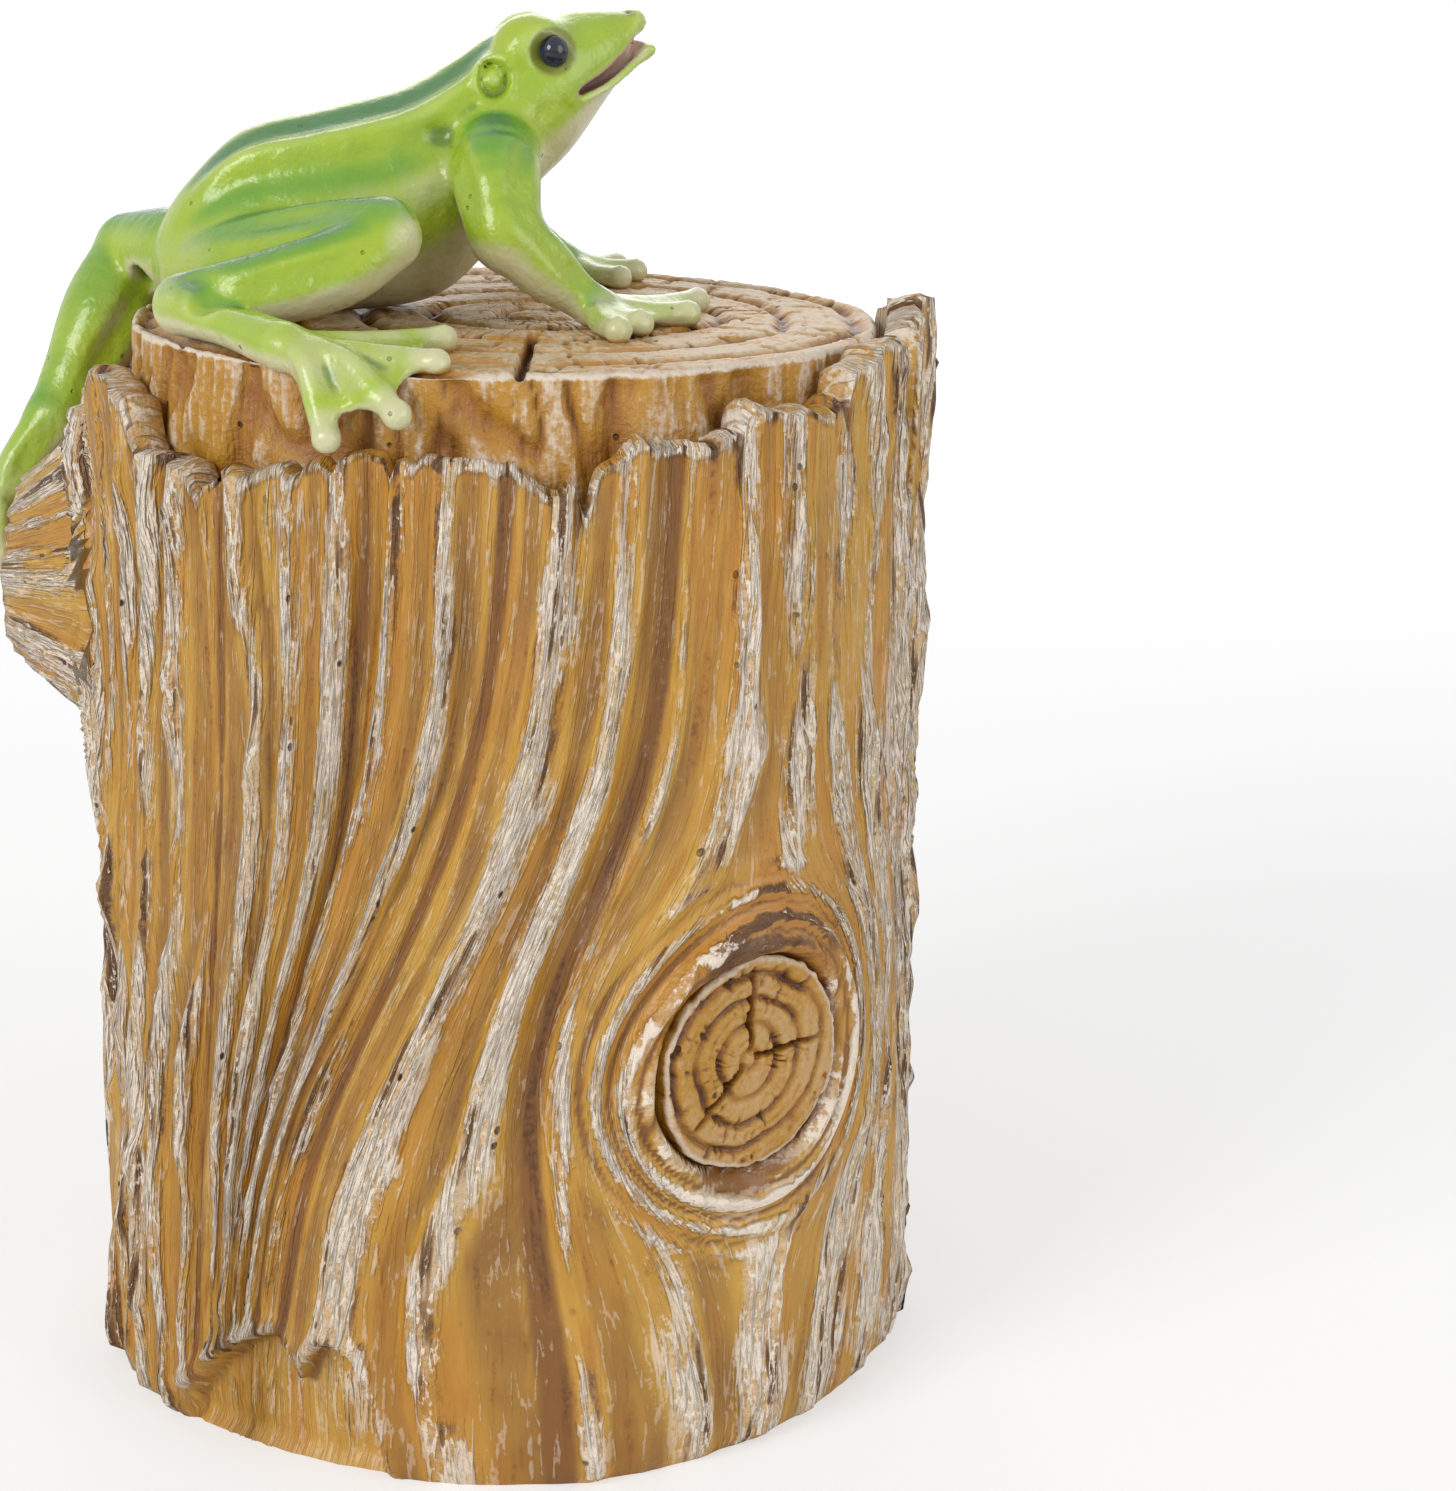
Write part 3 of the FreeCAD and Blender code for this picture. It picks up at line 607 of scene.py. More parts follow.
def makeBark():
    bearing, top, b, z = barkGrid()
    rows, columns = b.shape
    home, *skin = barkRelief(b, z)
    radius = trunk["radius"] + np.interp(z, *zip(*trunk["gain"]))
    radius = radius + 0.45 * np.cos(3 * np.radians(b) + 0.01 * z + 0.4)
    radius = radius + 0.4 * np.cos(5 * np.radians(b) - 0.016 * z + 1.9)
    radius = radius + 0.25 * lattice(b / 360 * 20, z / 40, 20, 3)
    skin = knotLip(b, z, whorl(b, z, knot, skin))
    skin = whorl(b, z, eyelet, skin)
    radius, skin, onStub, stubGrain = stubCone(b, z, radius, skin)
    relief, crest, furrow = footHollow(b, z, skin)
    crest = np.maximum(crest, 0.9 * (1 - ease(0, 1.8, top - z)))
    radius = radius + relief * (0.3 + 0.7 * ease(0, 1.6, z))
    radius = radius - trunk["footRound"] * (1 - ease(0, 1.0, z))

    level = 0 * bearing
    base = [around(b[0], radius[0] - inset, level) for inset in (6, 1)]
    cap = crownRings(bearing, top, b[-1], radius[-1])
    rings = base + [around(*row) for row in zip(b, radius, z)] + cap
    first, extra = len(base), len(cap)

    def grown(values, capValue):
        low = [values[:1] * 0] * first
        high = [np.full((1, columns), capValue)] * 3 + [values[:1] * 0 + 0.45] * (extra - 3)
        return np.append(np.concatenate([*low, values, *high]).ravel(), [0, 0])

    places = np.concatenate(rings).reshape(-1, 3)
    homes = np.concatenate([home[:1]] * first + [home] + [home[-1:]] * extra)
    # The grain carries on over the crown
    lengthway, over = places[:, 2].copy(), places[(first + rows) * columns:]
    lengthway[-len(over):] += np.tile(radius[-1], extra) - np.hypot(over[:, 0], over[:, 1])
    grain = around(homes.ravel(), trunk["radius"] + 0 * homes.ravel(), lengthway) * mm
    climbs = np.zeros(homes.shape, bool)
    climbs[first:first + rows] = onStub
    grain[climbs.ravel()] = stubGrain[onStub] * mm
    poles = np.array([[0, 0, 0], [0, 0, trunk["ledge"]]])
    marks = {"crest": grown(crest, 0.5), "furrow": grown(furrow, 0.4),
             "grainPlace": np.concatenate([grain, poles * mm])}
    mesh = meshFrom("bark", np.concatenate([places, poles]),
                    tubeFaces(len(rings), columns, True, True), marks)
    return addPiece("bark", mesh, [bark, underside, cavityWall])


barkPiece = makeBark()
print("bark made", len(barkPiece.data.polygons))


heartwood = {
    "radius": 43.2, "flare": 0.9, "top": 126.0, "depth": 20.0, "columns": 560, "flutes": 1.5,
    "rings": {"spacing": 8.1, "start": 4.3, "pithX": 3.0, "pithY": 2.5, "depth": 1.3,
              "groove": 0.2, "wobble": 2.2, "fineRings": 3.0, "fineDepth": 0.25,
              "nicks": 2.6, "nickDepth": 0.7, "crackA": -57.0, "crackB": 118.0,
              "crackC": 12.0, "crackFrom": 15.0, "crackTo": 60.0, "crackWidth": 0.6,
              "crackDepth": 2.2, "seed": 4.0},
    "bleached": 1.0,
}
knotEnd = {
    "radius": 12.5, "depth": 4.0, "columns": 200, "flutes": 0.3,
    "rings": {"spacing": 3.1, "start": 1.1, "pithX": -0.4, "pithY": 0.6, "depth": 0.9,
              "groove": 0.26, "wobble": 2.0, "fineRings": 2.0, "fineDepth": 0.2,
              "nicks": 1.7, "nickDepth": 0.8, "crackA": 88.0, "crackB": 2.0,
              "crackC": 222.0, "crackFrom": 0.5, "crackTo": 11.5, "crackWidth": 0.42,
              "crackDepth": 1.6, "seed": 9.0},
    "bleached": 0.1,
}
stubEnd = {
    "radius": 10.7, "depth": 3.0, "columns": 160, "flutes": 0.3,
    "rings": {"spacing": 3.3, "start": 1.4, "pithX": 0.8, "pithY": 0.5, "depth": 0.8,
              "groove": 0.26, "wobble": 1.1, "fineRings": 2.0, "fineDepth": 0.12,
              "nicks": 1.8, "nickDepth": 0.4, "crackA": 75.0, "crackB": 200.0,
              "crackC": 310.0, "crackFrom": 0.5, "crackTo": 10.0, "crackWidth": 0.4,
              "crackDepth": 1.4, "seed": 15.0},
    "bleached": 0.4,
}


def startTree(name, inputs):
    # A tree with a named input of each kind; gives its pen and a wire from every input
    tree = bpy.data.node_groups.new(name, "GeometryNodeTree")
    for label, kind in inputs.items():
        tree.interface.new_socket(label, in_out="INPUT", socket_type="NodeSocket" + kind)
    tree.interface.new_socket("Geometry", in_out="OUTPUT", socket_type="NodeSocketGeometry")
    pen = Pen(tree)
    group = pen.node("NodeGroupInput").socket.node
    return pen, {label: Pen(tree, group.outputs[label]) for label in inputs}


def endTree(pen, given, geometry):
    done = pen.node("GeometryNodeSetMaterial", Geometry=geometry, Material=given["finish"])
    pen.tree.links.new(done.socket, pen.tree.nodes.new("NodeGroupOutput").inputs[0])
    return pen.tree


def ringTree():
    # Growth rings, nicks across them and drying cracks, all raised along Z from one disc
    pen, given = startTree("sawnRings", {"Geometry": "Geometry",
                                         **dict.fromkeys(heartwood["rings"], "Float"),
                                         "finish": "Material"})
    spot = pen.node("GeometryNodeInputPosition")
    local = pen.node("ShaderNodeVectorMath", {"operation": "SCALE"}, i0=spot, Scale=1000.0)
    x, y = (pen.node("ShaderNodeSeparateXYZ", out=axis, i0=local) for axis in (0, 1))
    moved = pen.node("ShaderNodeCombineXYZ", X=x, Y=y, Z=given["seed"])

    def noise(scale, detail, vector):
        return pen.node("ShaderNodeTexNoise", Vector=vector, Scale=scale, Detail=detail)

    px, py = x - given["pithX"], y - given["pithY"]
    r = (px * px + py * py) ** 0.5
    safe = r + 0.001
    drift = (noise(0.07, 2.0, moved) - 0.5) * given["wobble"] * 2
    jitter = (noise(0.35, 2.0, moved) - 0.5) * given["wobble"] * 0.5
    phase = (r + drift + jitter - given["start"]) / given["spacing"]
    part = phase.maths("FRACT", phase)
    near = part.maths("MINIMUM", part, 1 - part)
    strength = noise(0.16, 2.0, moved).over(0.32, 0.6)
    groove = (1 - (near / given["groove"]).over(0.0, 1.0)) * (0.45 + strength * 0.55)
    inner = phase * given["fineRings"]
    innerPart = inner.maths("FRACT", inner)
    fine = (innerPart - 0.5).absolute().over(0.36, 0.5) * noise(0.3, 2.0, moved).over(0.4, 0.6)
    # Nicks run outwards across the bands, longer than they are wide
    fan = pen.node("ShaderNodeCombineXYZ", X=px / safe * given["nicks"] * 7,
                   Y=py / safe * given["nicks"] * 7, Z=phase * 1.6 + given["seed"])
    nick = noise(1.0, 1.0, fan).over(0.57, 0.72) * noise(0.16, 1.0, moved).over(0.35, 0.55)
    crack = pen.maths("ADD", 0.0, 0.0)
    waver = (noise(0.5, 2.0, moved) - 0.5) * 1.1
    for name in ("crackA", "crackB", "crackC"):
        angle = given[name] * (math.pi / 180)
        c, s = angle.maths("COSINE", angle), angle.maths("SINE", angle)
        along, across = px * c + py * s, (py * c - px * s + waver).absolute()
        width = given["crackWidth"]
        started = (along - given["crackFrom"]).over(0.0, 1.5)
        ended = (given["crackTo"] - along).over(0.0, 2.5)
        line = (across / width).under(0.4, 1.3) * started * ended
        crack = crack.maths("MAXIMUM", crack, line)
    face = pen.node("GeometryNodeInputNamedAttribute", {"data_type": "FLOAT"}, Name="face")
    rough = (noise(0.9, 3.0, moved) - 0.5) * 0.35
    rise = rough - groove * given["depth"] - fine * given["fineDepth"]
    rise = (rise - nick * given["nickDepth"] - crack * given["crackDepth"]) * face
    lift = pen.node("ShaderNodeCombineXYZ", Z=rise * mm)
    shaped = pen.node("GeometryNodeSetPosition", Geometry=given["Geometry"], Offset=lift)
    dip = (groove * 0.85 + fine * 0.35).maths("MAXIMUM", groove * 0.85 + fine * 0.35, crack)
    for name, value in (("ringDip", dip * face), ("hatch", nick * face)):
        shaped = pen.node("GeometryNodeStoreNamedAttribute",
                          {"data_type": "FLOAT", "domain": "POINT"},
                          Geometry=shaped, Name=name, Value=value)
    return endTree(pen, given, pen.node("GeometryNodeRealizeInstances", Geometry=shaped))


def runTree(name, mesh, tree, inputs):
    # Evaluates a tree on a mesh and returns the result as a plain mesh
    carrier = addPiece(name, mesh, [])
    modifier = carrier.modifiers.new("shape", "NODES")
    modifier.node_group = tree
    for socket in tree.interface.items_tree:
        if socket.in_out == "INPUT" and socket.name in inputs:
            modifier[socket.identifier] = inputs[socket.name]
    evaluated = carrier.evaluated_get(bpy.context.evaluated_depsgraph_get())
    made = bpy.data.meshes.new_from_object(evaluated)
    bpy.data.objects.remove(carrier)
    made.name = name
    return made


def puck(spec, seed):
    # A closed round plug whose upper face lies on z = 0
    columns, radius = spec["columns"], spec["radius"]
    angle = np.degrees(2 * np.pi * np.arange(columns) / columns)
    step = 2 * math.pi * radius / columns * 0.9
    rows = [(r, 0.0, 1.0, 0.0) for r in np.arange(step, radius - 0.8, step)]
    rows += [(radius - 0.55, -0.05, 0.8, 0.0), (radius - 0.25, -0.2, 0.5, 0.1),
             (radius - 0.05, -0.5, 0.2, 0.3), (radius, -0.9, 0.0, 0.6)]
    for z in np.arange(1.4, spec["depth"], 0.6 if radius > 20 else 0.8):
        rows.append((radius + spec.get("flare", 0) * z / spec["depth"], -z, 0.0, 1.0))
    rows.append((radius * 0.6, -spec["depth"], 0.0, 0.3))
    r, z, face, side = (np.array(c)[:, None] for c in zip(*rows))
    turnLength = 2 * math.pi * radius
    wide = int(turnLength / 3.3)
    narrow = int(turnLength / 1.1)
    u = angle / 360
    slant = 0.35 * lattice(u * 40 + 0 * z, z / 9 + 5, 40, seed + 2)
    flute = keel(u * wide + slant, z / 18 + 2, wide, seed)
    scratch = keel(u * narrow + slant, z / 8, narrow, seed + 1)
    dip = ease(0.35, 0.9, flute) * 0.75 + 0.35 * ease(0.5, 1.0, scratch)
    edge = 0.5 * lattice(u * 24, 0 * u, 24, seed + 4)
    edge = edge + 0.3 * lattice(u * 70, 0 * u, 70, seed + 5)
    distance = r - spec["flutes"] * side * dip + edge * ease(radius * 0.75, radius, r) * 0.6
    places = around(angle, distance, np.broadcast_to(z, distance.shape)).reshape(-1, 3)
    places = np.concatenate([places, [[0, 0, 0], [0, 0, -spec["depth"]]]])
    faces = [f[:, ::-1] for f in tubeFaces(len(rows), columns, True, True)]
    grown = np.broadcast_to(face, distance.shape).ravel()
    marks = {"face": np.append(grown, [1.0, 0.0]),
             "bleached": np.full(len(places), spec["bleached"]),
             "wallDip": np.append(np.clip(side * dip * 0.75, 0, 1).ravel(), [0.0, 0.0])}
    return meshFrom("plug", places, faces, marks)


def outwardFrame(bearing, distance, height):
    # A frame whose Z points away from the trunk and whose Y points up
    out = Vector(around(bearing, 1.0, 0.0))
    side = Vector((0, 0, 1)).cross(out)
    axes = Matrix((side, Vector((0, 0, 1)), out)).transposed().to_4x4()
    return Matrix.Translation(Vector(around(bearing, distance, height)) * mm) @ axes


def makeSawn(name, spec, seed, place):
    mesh = runTree(name, puck(spec, seed), sawnRings, {**spec["rings"], "finish": endGrain})
    mesh.transform(place)
    return addPiece(name, mesh, [])


sawnRings = ringTree()
sawnPieces = [
    makeSawn("heartwood", heartwood, 31, Matrix.Translation((0, 0, heartwood["top"] * mm))),
    makeSawn("knotFace", knotEnd, 41, outwardFrame(knot["bearing"], knot["face"],
                                                   knot["height"])),
    makeSawn("stubFace", stubEnd, 51, outwardFrame(stub["bearing"], stub["reach"] - 0.25,
                                                   stub["height"])),
]
print("sawn faces made", [len(p.data.polygons) for p in sawnPieces])


cavity = {"halfWidth": 30.5, "front": -28.0, "back": 32.6, "top": 101.0, "corner": 5.0,
          "draft": 1.2, "lip": 3.0, "groove": 3.8, "grooveDepth": 3.2, "trackCorner": 4.0}


def roundedCorners(halfWidth, front, back, corner, steps=8):
    points = []
    for cx, cy, start in ((halfWidth - corner, front + corner, -90),
                          (halfWidth - corner, back - corner, 0),
                          (corner - halfWidth, back - corner, 90),
                          (corner - halfWidth, front + corner, 180)):
        for k in range(steps + 1):
            a = math.radians(start + 90 * k / steps)
            points.append((cx + corner * math.cos(a), cy + corner * math.sin(a)))
    return points


def cutter(name, layers):
    # A closed block through rounded outlines, each given with its height
    outlines = [[(x, y, z) for x, y in outline] for outline, z in layers]
    count = len(outlines[0])
    places = [p for outline in outlines for p in outline]
    for outline in (outlines[0], outlines[-1]):
        places.append(np.mean(outline, axis=0))
    faces = tubeFaces(len(outlines), count, True, True)
    return addPiece(name, meshFrom(name, np.array(places), faces, smooth=False),
                    [bark, underside, cavityWall])


def cutCavity(piece):
    c = cavity
    wide, half = c["halfWidth"] + c["grooveDepth"], c["halfWidth"]
    topRound = [(0.0, 2.5), (0.7, 0.9), (2.2, 0.0)]  # how far in, how far below the top
    room = [(roundedCorners(half, c["front"], c["back"], c["corner"]), c["lip"] + 2.0)]
    for inset, below in topRound:
        d = c["draft"] + inset
        room.append((roundedCorners(half - d, c["front"] + d, c["back"] - d, c["corner"]),
                     c["top"] - below))
    mouth = roundedCorners(half, c["front"], 90.0, 0.6)
    track = roundedCorners(wide, c["front"] - c["grooveDepth"], 70.0, c["trackCorner"])
    blocks = [cutter("room", room), cutter("mouth", [(mouth, -1.0), (mouth, c["lip"] + 1.0)]),
              cutter("track", [(track, c["lip"]), (track, c["lip"] + c["groove"])])]
    for block in blocks:
        for polygon in block.data.polygons:
            polygon.material_index = 2
        cut = piece.modifiers.new("cut", "BOOLEAN")
        cut.operation, cut.object, cut.solver = "DIFFERENCE", block, "EXACT"
    evaluated = piece.evaluated_get(bpy.context.evaluated_depsgraph_get())
    made = bpy.data.meshes.new_from_object(evaluated)
    piece.modifiers.clear()
    piece.data = made
    for block in blocks:
        bpy.data.objects.remove(block)
    # Faces at the foot that look down get the plain resin of the underside
    centre, normal = (np.empty(len(made.polygons) * 3) for _ in range(2))
    made.polygons.foreach_get("center", centre)
    made.polygons.foreach_get("normal", normal)
    index = np.empty(len(made.polygons), int)
    made.polygons.foreach_get("material_index", index)
    index[(centre[2::3] < 0.6 * mm) & (normal[2::3] < -0.7)] = 1
    made.polygons.foreach_set("material_index", index)
    work = bmesh.new()
    work.from_mesh(made)
    for edge in work.edges:
        if any(f.material_index for f in edge.link_faces):
            edge.smooth = edge.calc_face_angle(0) < math.radians(30)
    work.to_mesh(made)
    work.free()


cutCavity(barkPiece)
print("cavity cut", len(barkPiece.data.polygons))


coverPlate = {"side": 33.4, "front": -30.9, "rear": 48.0, "low": 3.3, "thick": 3.2,
              "corner": 4.0, "bevel": 0.5, "thumbRadius": 26.0, "thumbDepth": 1.3,
              "thumbFrom": 36.0, "thumbHalf": 12.0}
gripRibs = {"count": 5, "spacing": 2.2, "halfLength": 9.5, "width": 0.55, "height": 0.42}


def coverPaint(pen):
    place = pen.node("ShaderNodeTexCoord", out=3)
    grainy = speckle(pen, place, 1800.0, 3.0, 0.65)
    cloud = speckle(pen, place, 60.0, 2.0)
    flow = speckle(pen, stretched(pen, place, (1, 0.12, 1)), 500.0, 2.0)
    tone = colour(pen, cloud.over(0.35, 0.65), (0.36, 0.17, 0.045), (0.43, 0.215, 0.06))
    return {
        "Base Color": colour(pen, flow.over(0.6, 0.75) * 0.4, tone, (0.5, 0.28, 0.1)),
        "Roughness": 0.46 + (grainy - 0.5) * 0.2,
        "Normal": pen.node("ShaderNodeBump", Strength=0.3, Distance=0.0002, Height=grainy),
    }


coverPlastic = finish("mouldedCoverPlastic", coverPaint)


def thumbDip(x, y):
    c = coverPlate
    run = np.clip(c["thumbRadius"] ** 2 - (y - c["thumbFrom"]) ** 2, 0, None)
    dip = np.sqrt(run) - c["thumbRadius"] + c["thumbDepth"]
    return np.clip(dip, 0, None) * (1 - ease(c["thumbHalf"] - 0.8, c["thumbHalf"], np.abs(x)))


def makeCover():
    c = coverPlate
    insets = np.array([0.0, 0.3, 1.0]) * c["bevel"]
    drops = insets[::-1]
    across = np.linspace(-1, 1, 121)
    rows = np.linspace(0, 1, 131)
    x = c["side"] * across[None, :] + 0 * rows[:, None]
    over = np.clip((np.abs(x) - c["side"] + c["corner"]) / c["corner"], 0, 1)
    front = c["front"] + c["corner"] * (1 - np.sqrt(1 - over ** 2))
    rear = np.sqrt(c["rear"] ** 2 - x ** 2)
    y = front + (rear - front) * rows[:, None]
    edge = np.minimum.reduce([c["side"] - np.abs(x), y - front, rear - y])
    bevel = np.interp(edge, insets, drops)
    low = c["low"] + bevel + thumbDip(x, y)
    high = c["low"] + c["thick"] - bevel
    nr, nc = x.shape
    places = np.concatenate([np.stack([x, y, low], -1).reshape(-1, 3),
                             np.stack([x, y, high], -1).reshape(-1, 3)])
    r, k = np.meshgrid(np.arange(nr - 1), np.arange(nc - 1), indexing="ij")
    a = (r * nc + k).ravel()
    up = nr * nc
    lower = np.stack([a, a + nc, a + nc + 1, a + 1], -1)
    upper = np.stack([a, a + 1, a + nc + 1, a + nc], -1) + up
    rim = np.concatenate([np.arange(nc), np.arange(1, nr) * nc + nc - 1,
                          (nr - 1) * nc + np.arange(nc - 2, -1, -1),
                          np.arange(nr - 2, 0, -1) * nc])
    after = np.roll(rim, -1)
    wall = np.stack([rim, after, after + up, rim + up], -1)
    mesh = meshFrom("slidingCover", places, np.concatenate([lower, upper, wall]))
    return addPiece("slidingCover", mesh, [coverPlastic])


def ribTree():
    # A row of rounded ribs that lies on the hollow of the thumb recess
    sizes = ("spacing", "halfLength", "width", "height", "hollowRadius")
    pen, given = startTree("gripRibs", {"count": "Int", **dict.fromkeys(sizes, "Float"),
                                        "finish": "Material"})
    first = pen.node("ShaderNodeCombineXYZ", Y=given["spacing"] * (given["count"] - 1) * -0.5)
    step = pen.node("ShaderNodeCombineXYZ", Y=given["spacing"])
    line = pen.node("GeometryNodeMeshLine", {"mode": "OFFSET"}, Count=given["count"],
                    Start_Location=first, Offset=step)
    y = pen.node("ShaderNodeSeparateXYZ", out=1, i0=pen.node("GeometryNodeInputPosition"))
    drop = (given["hollowRadius"] ** 2 - y * y) ** 0.5 - given["hollowRadius"]
    line = pen.node("GeometryNodeSetPosition", Geometry=line,
                    Offset=pen.node("ShaderNodeCombineXYZ", Z=drop))
    bead = pen.node("GeometryNodeMeshUVSphere", Segments=10, Rings=8, Radius=1.0)
    size = pen.node("ShaderNodeCombineXYZ", X=given["halfLength"], Y=given["width"],
                    Z=given["height"])
    ribs = pen.node("GeometryNodeInstanceOnPoints", Points=line, Instance=bead, Scale=size)
    ribs = pen.node("GeometryNodeRealizeInstances", Geometry=ribs)
    return endTree(pen, given, pen.node("GeometryNodeSetShadeSmooth", Geometry=ribs))


def makeRibs():
    lengths = {key: value * mm for key, value in gripRibs.items() if key != "count"}
    inputs = {**lengths, "count": gripRibs["count"], "finish": coverPlastic,
              "hollowRadius": coverPlate["thumbRadius"] * mm}
    mesh = runTree("coverRibs", bpy.data.meshes.new("ribs"), ribTree(), inputs)
    height = coverPlate["low"] + coverPlate["thumbDepth"]
    mesh.transform(Matrix.Translation(Vector((0, coverPlate["thumbFrom"], height)) * mm))
    return addPiece("coverRibs", mesh, [])


coverPieces = [makeCover(), makeRibs()]
print("cover made")


frogColours = {
    "lime": (0.36, 0.485, 0.026), "leaf": (0.11, 0.31, 0.02), "deep": (0.05, 0.18, 0.065),
    "ridge": (0.53, 0.66, 0.20), "washAndShade": (0.06, 0.15, 0.01), "cream": (0.62, 0.59, 0.36),
    "mouth": (0.50, 0.34, 0.27), "olive": (0.17, 0.17, 0.03), "ochre": (0.46, 0.24, 0.05),
    "speck": (0.05, 0.03, 0.01),
}


def frogPaint(pen):
    place = pen.node("ShaderNodeTexCoord", out=3)
    soft = speckle(pen, place, 110.0, 3.0, 0.5)
    fine = speckle(pen, place, 650.0, 3.0, 0.6)
    specks = pinholes(pen, place, 480.0, 0.12, 0.14)
    folds = speckle(pen, place, 260.0, 3.0, 0.55)
    wander = (soft - 0.5) * 0.8 + (folds - 0.5) * 0.4 + (fine - 0.5) * 0.3
    skin = colour(pen, (wander + 0.5).over(0.25, 0.9) * 0.35,
                  frogColours["lime"], frogColours["leaf"])
    skin = colour(pen, (attribute(pen, "leaf") + wander * 0.5).over(0.1, 1.0) * 0.9,
                  skin, frogColours["leaf"])
    skin = colour(pen, (attribute(pen, "deep") + wander * 0.5).over(0.15, 0.85) * 0.9,
                  skin, frogColours["deep"])
    skin = colour(pen, (attribute(pen, "ridge") + wander * 0.6).over(0.2, 1.0) * 0.5,
                  skin, frogColours["ridge"])
    belly = attribute(pen, "pale") + wander * 0.8
    skin = colour(pen, belly.over(0.15, 0.95) * 0.95, skin, frogColours["cream"])
    # Wash in the creases, with painted shade in them
    skin = colour(pen, (attribute(pen, "crease") + wander * 0.4).over(0.12, 0.9) * 0.7,
                  skin, frogColours["washAndShade"])
    skin = colour(pen, attribute(pen, "olive") * 0.8, skin, frogColours["olive"])
    skin = colour(pen, attribute(pen, "pink").over(0.3, 0.7), skin, frogColours["mouth"])
    spray = (attribute(pen, "touch") + wander).over(0.35, 0.9)
    skin = colour(pen, spray * 0.8, skin, frogColours["ochre"])
    skin = colour(pen, specks * (0.25 + attribute(pen, "pale") * 0.6), skin,
                  frogColours["speck"])
    height = soft * 0.9 + folds * 0.7 + fine * 0.25 - specks * 0.8
    return {
        "Base Color": skin,
        "Roughness": 0.3 + (fine - 0.5) * 0.25,
        "Coat Weight": 0.22,
        "Coat Roughness": 0.16,
        "Normal": pen.node("ShaderNodeBump", Strength=0.7, Distance=0.0009, Height=height),
    }


frogSkin = finish("paintedFrogSkin", frogPaint)


# The frog, drawn facing +X with its left side towards +Y, then turned about the trunk
frogBody = {
    "turn": 38.0, "voxel": 0.45, "middle": 5.0, "snout": 5.7,
    "box": ((-66, 27), (-50, 45), (92, 164)), "polish": 2, "foldReach": 24,
    # Sections of the trunk: x, middle height, half height, middle y, half width
    "torso": [(-40.8, 131.0, 1.8, 3.6, 2.2), (-39.6, 131.8, 4.2, 3.6, 5.0),
              (-36.6, 133.4, 7.0, 3.7, 7.4), (-30.0, 136.2, 10.2, 3.9, 9.8),
              (-20.5, 137.4, 11.6, 4.1, 11.6), (-12.0, 138.9, 12.4, 4.3, 11.6),
              (-6.5, 141.4, 12.8, 4.5, 11.0), (-1.0, 146.0, 11.9, 4.8, 9.8),
              (3.2, 149.6, 9.6, 5.0, 8.8), (7.6, 152.3, 7.8, 5.3, 7.4),
              (11.4, 155.1, 5.2, 5.5, 5.2), (14.4, 157.2, 3.1, 5.7, 3.0),
              (15.9, 157.6, 2.5, 5.8, 2.1), (17.0, 156.4, 0.8, 5.9, 1.0)],
    "mouth": [(7.7, 150.7), (8.4, 151.9), (11.0, 153.5), (13.8, 155.9), (15.0, 157.8),
              (16.3, 161.0), (20.0, 161.5), (20.0, 158.6), (16.9, 156.5), (14.7, 154.7),
              (11.7, 152.3)],
    "tongue": [(8.6, 5.7, 151.4, 0.9), (12.0, 5.7, 153.4, 1.2), (15.4, 5.8, 156.1, 1.0)],
    "brow": (2.8, 4.5, 156.2, 3.8), "socket": (5.2, 9.0, 156.0, 2.7),
    "eye": (5.3, 6.6, 156.0, 1.62), "eardrum": (-1.6, 7.6, 152.8, 2.3),
    "nose": (14.8, 5.8, 158.9, 1.2), "nostril": (14.2, 0.9, 159.8, 0.35),
    "floor": 125.5, "floorRadius": 42.6,
}
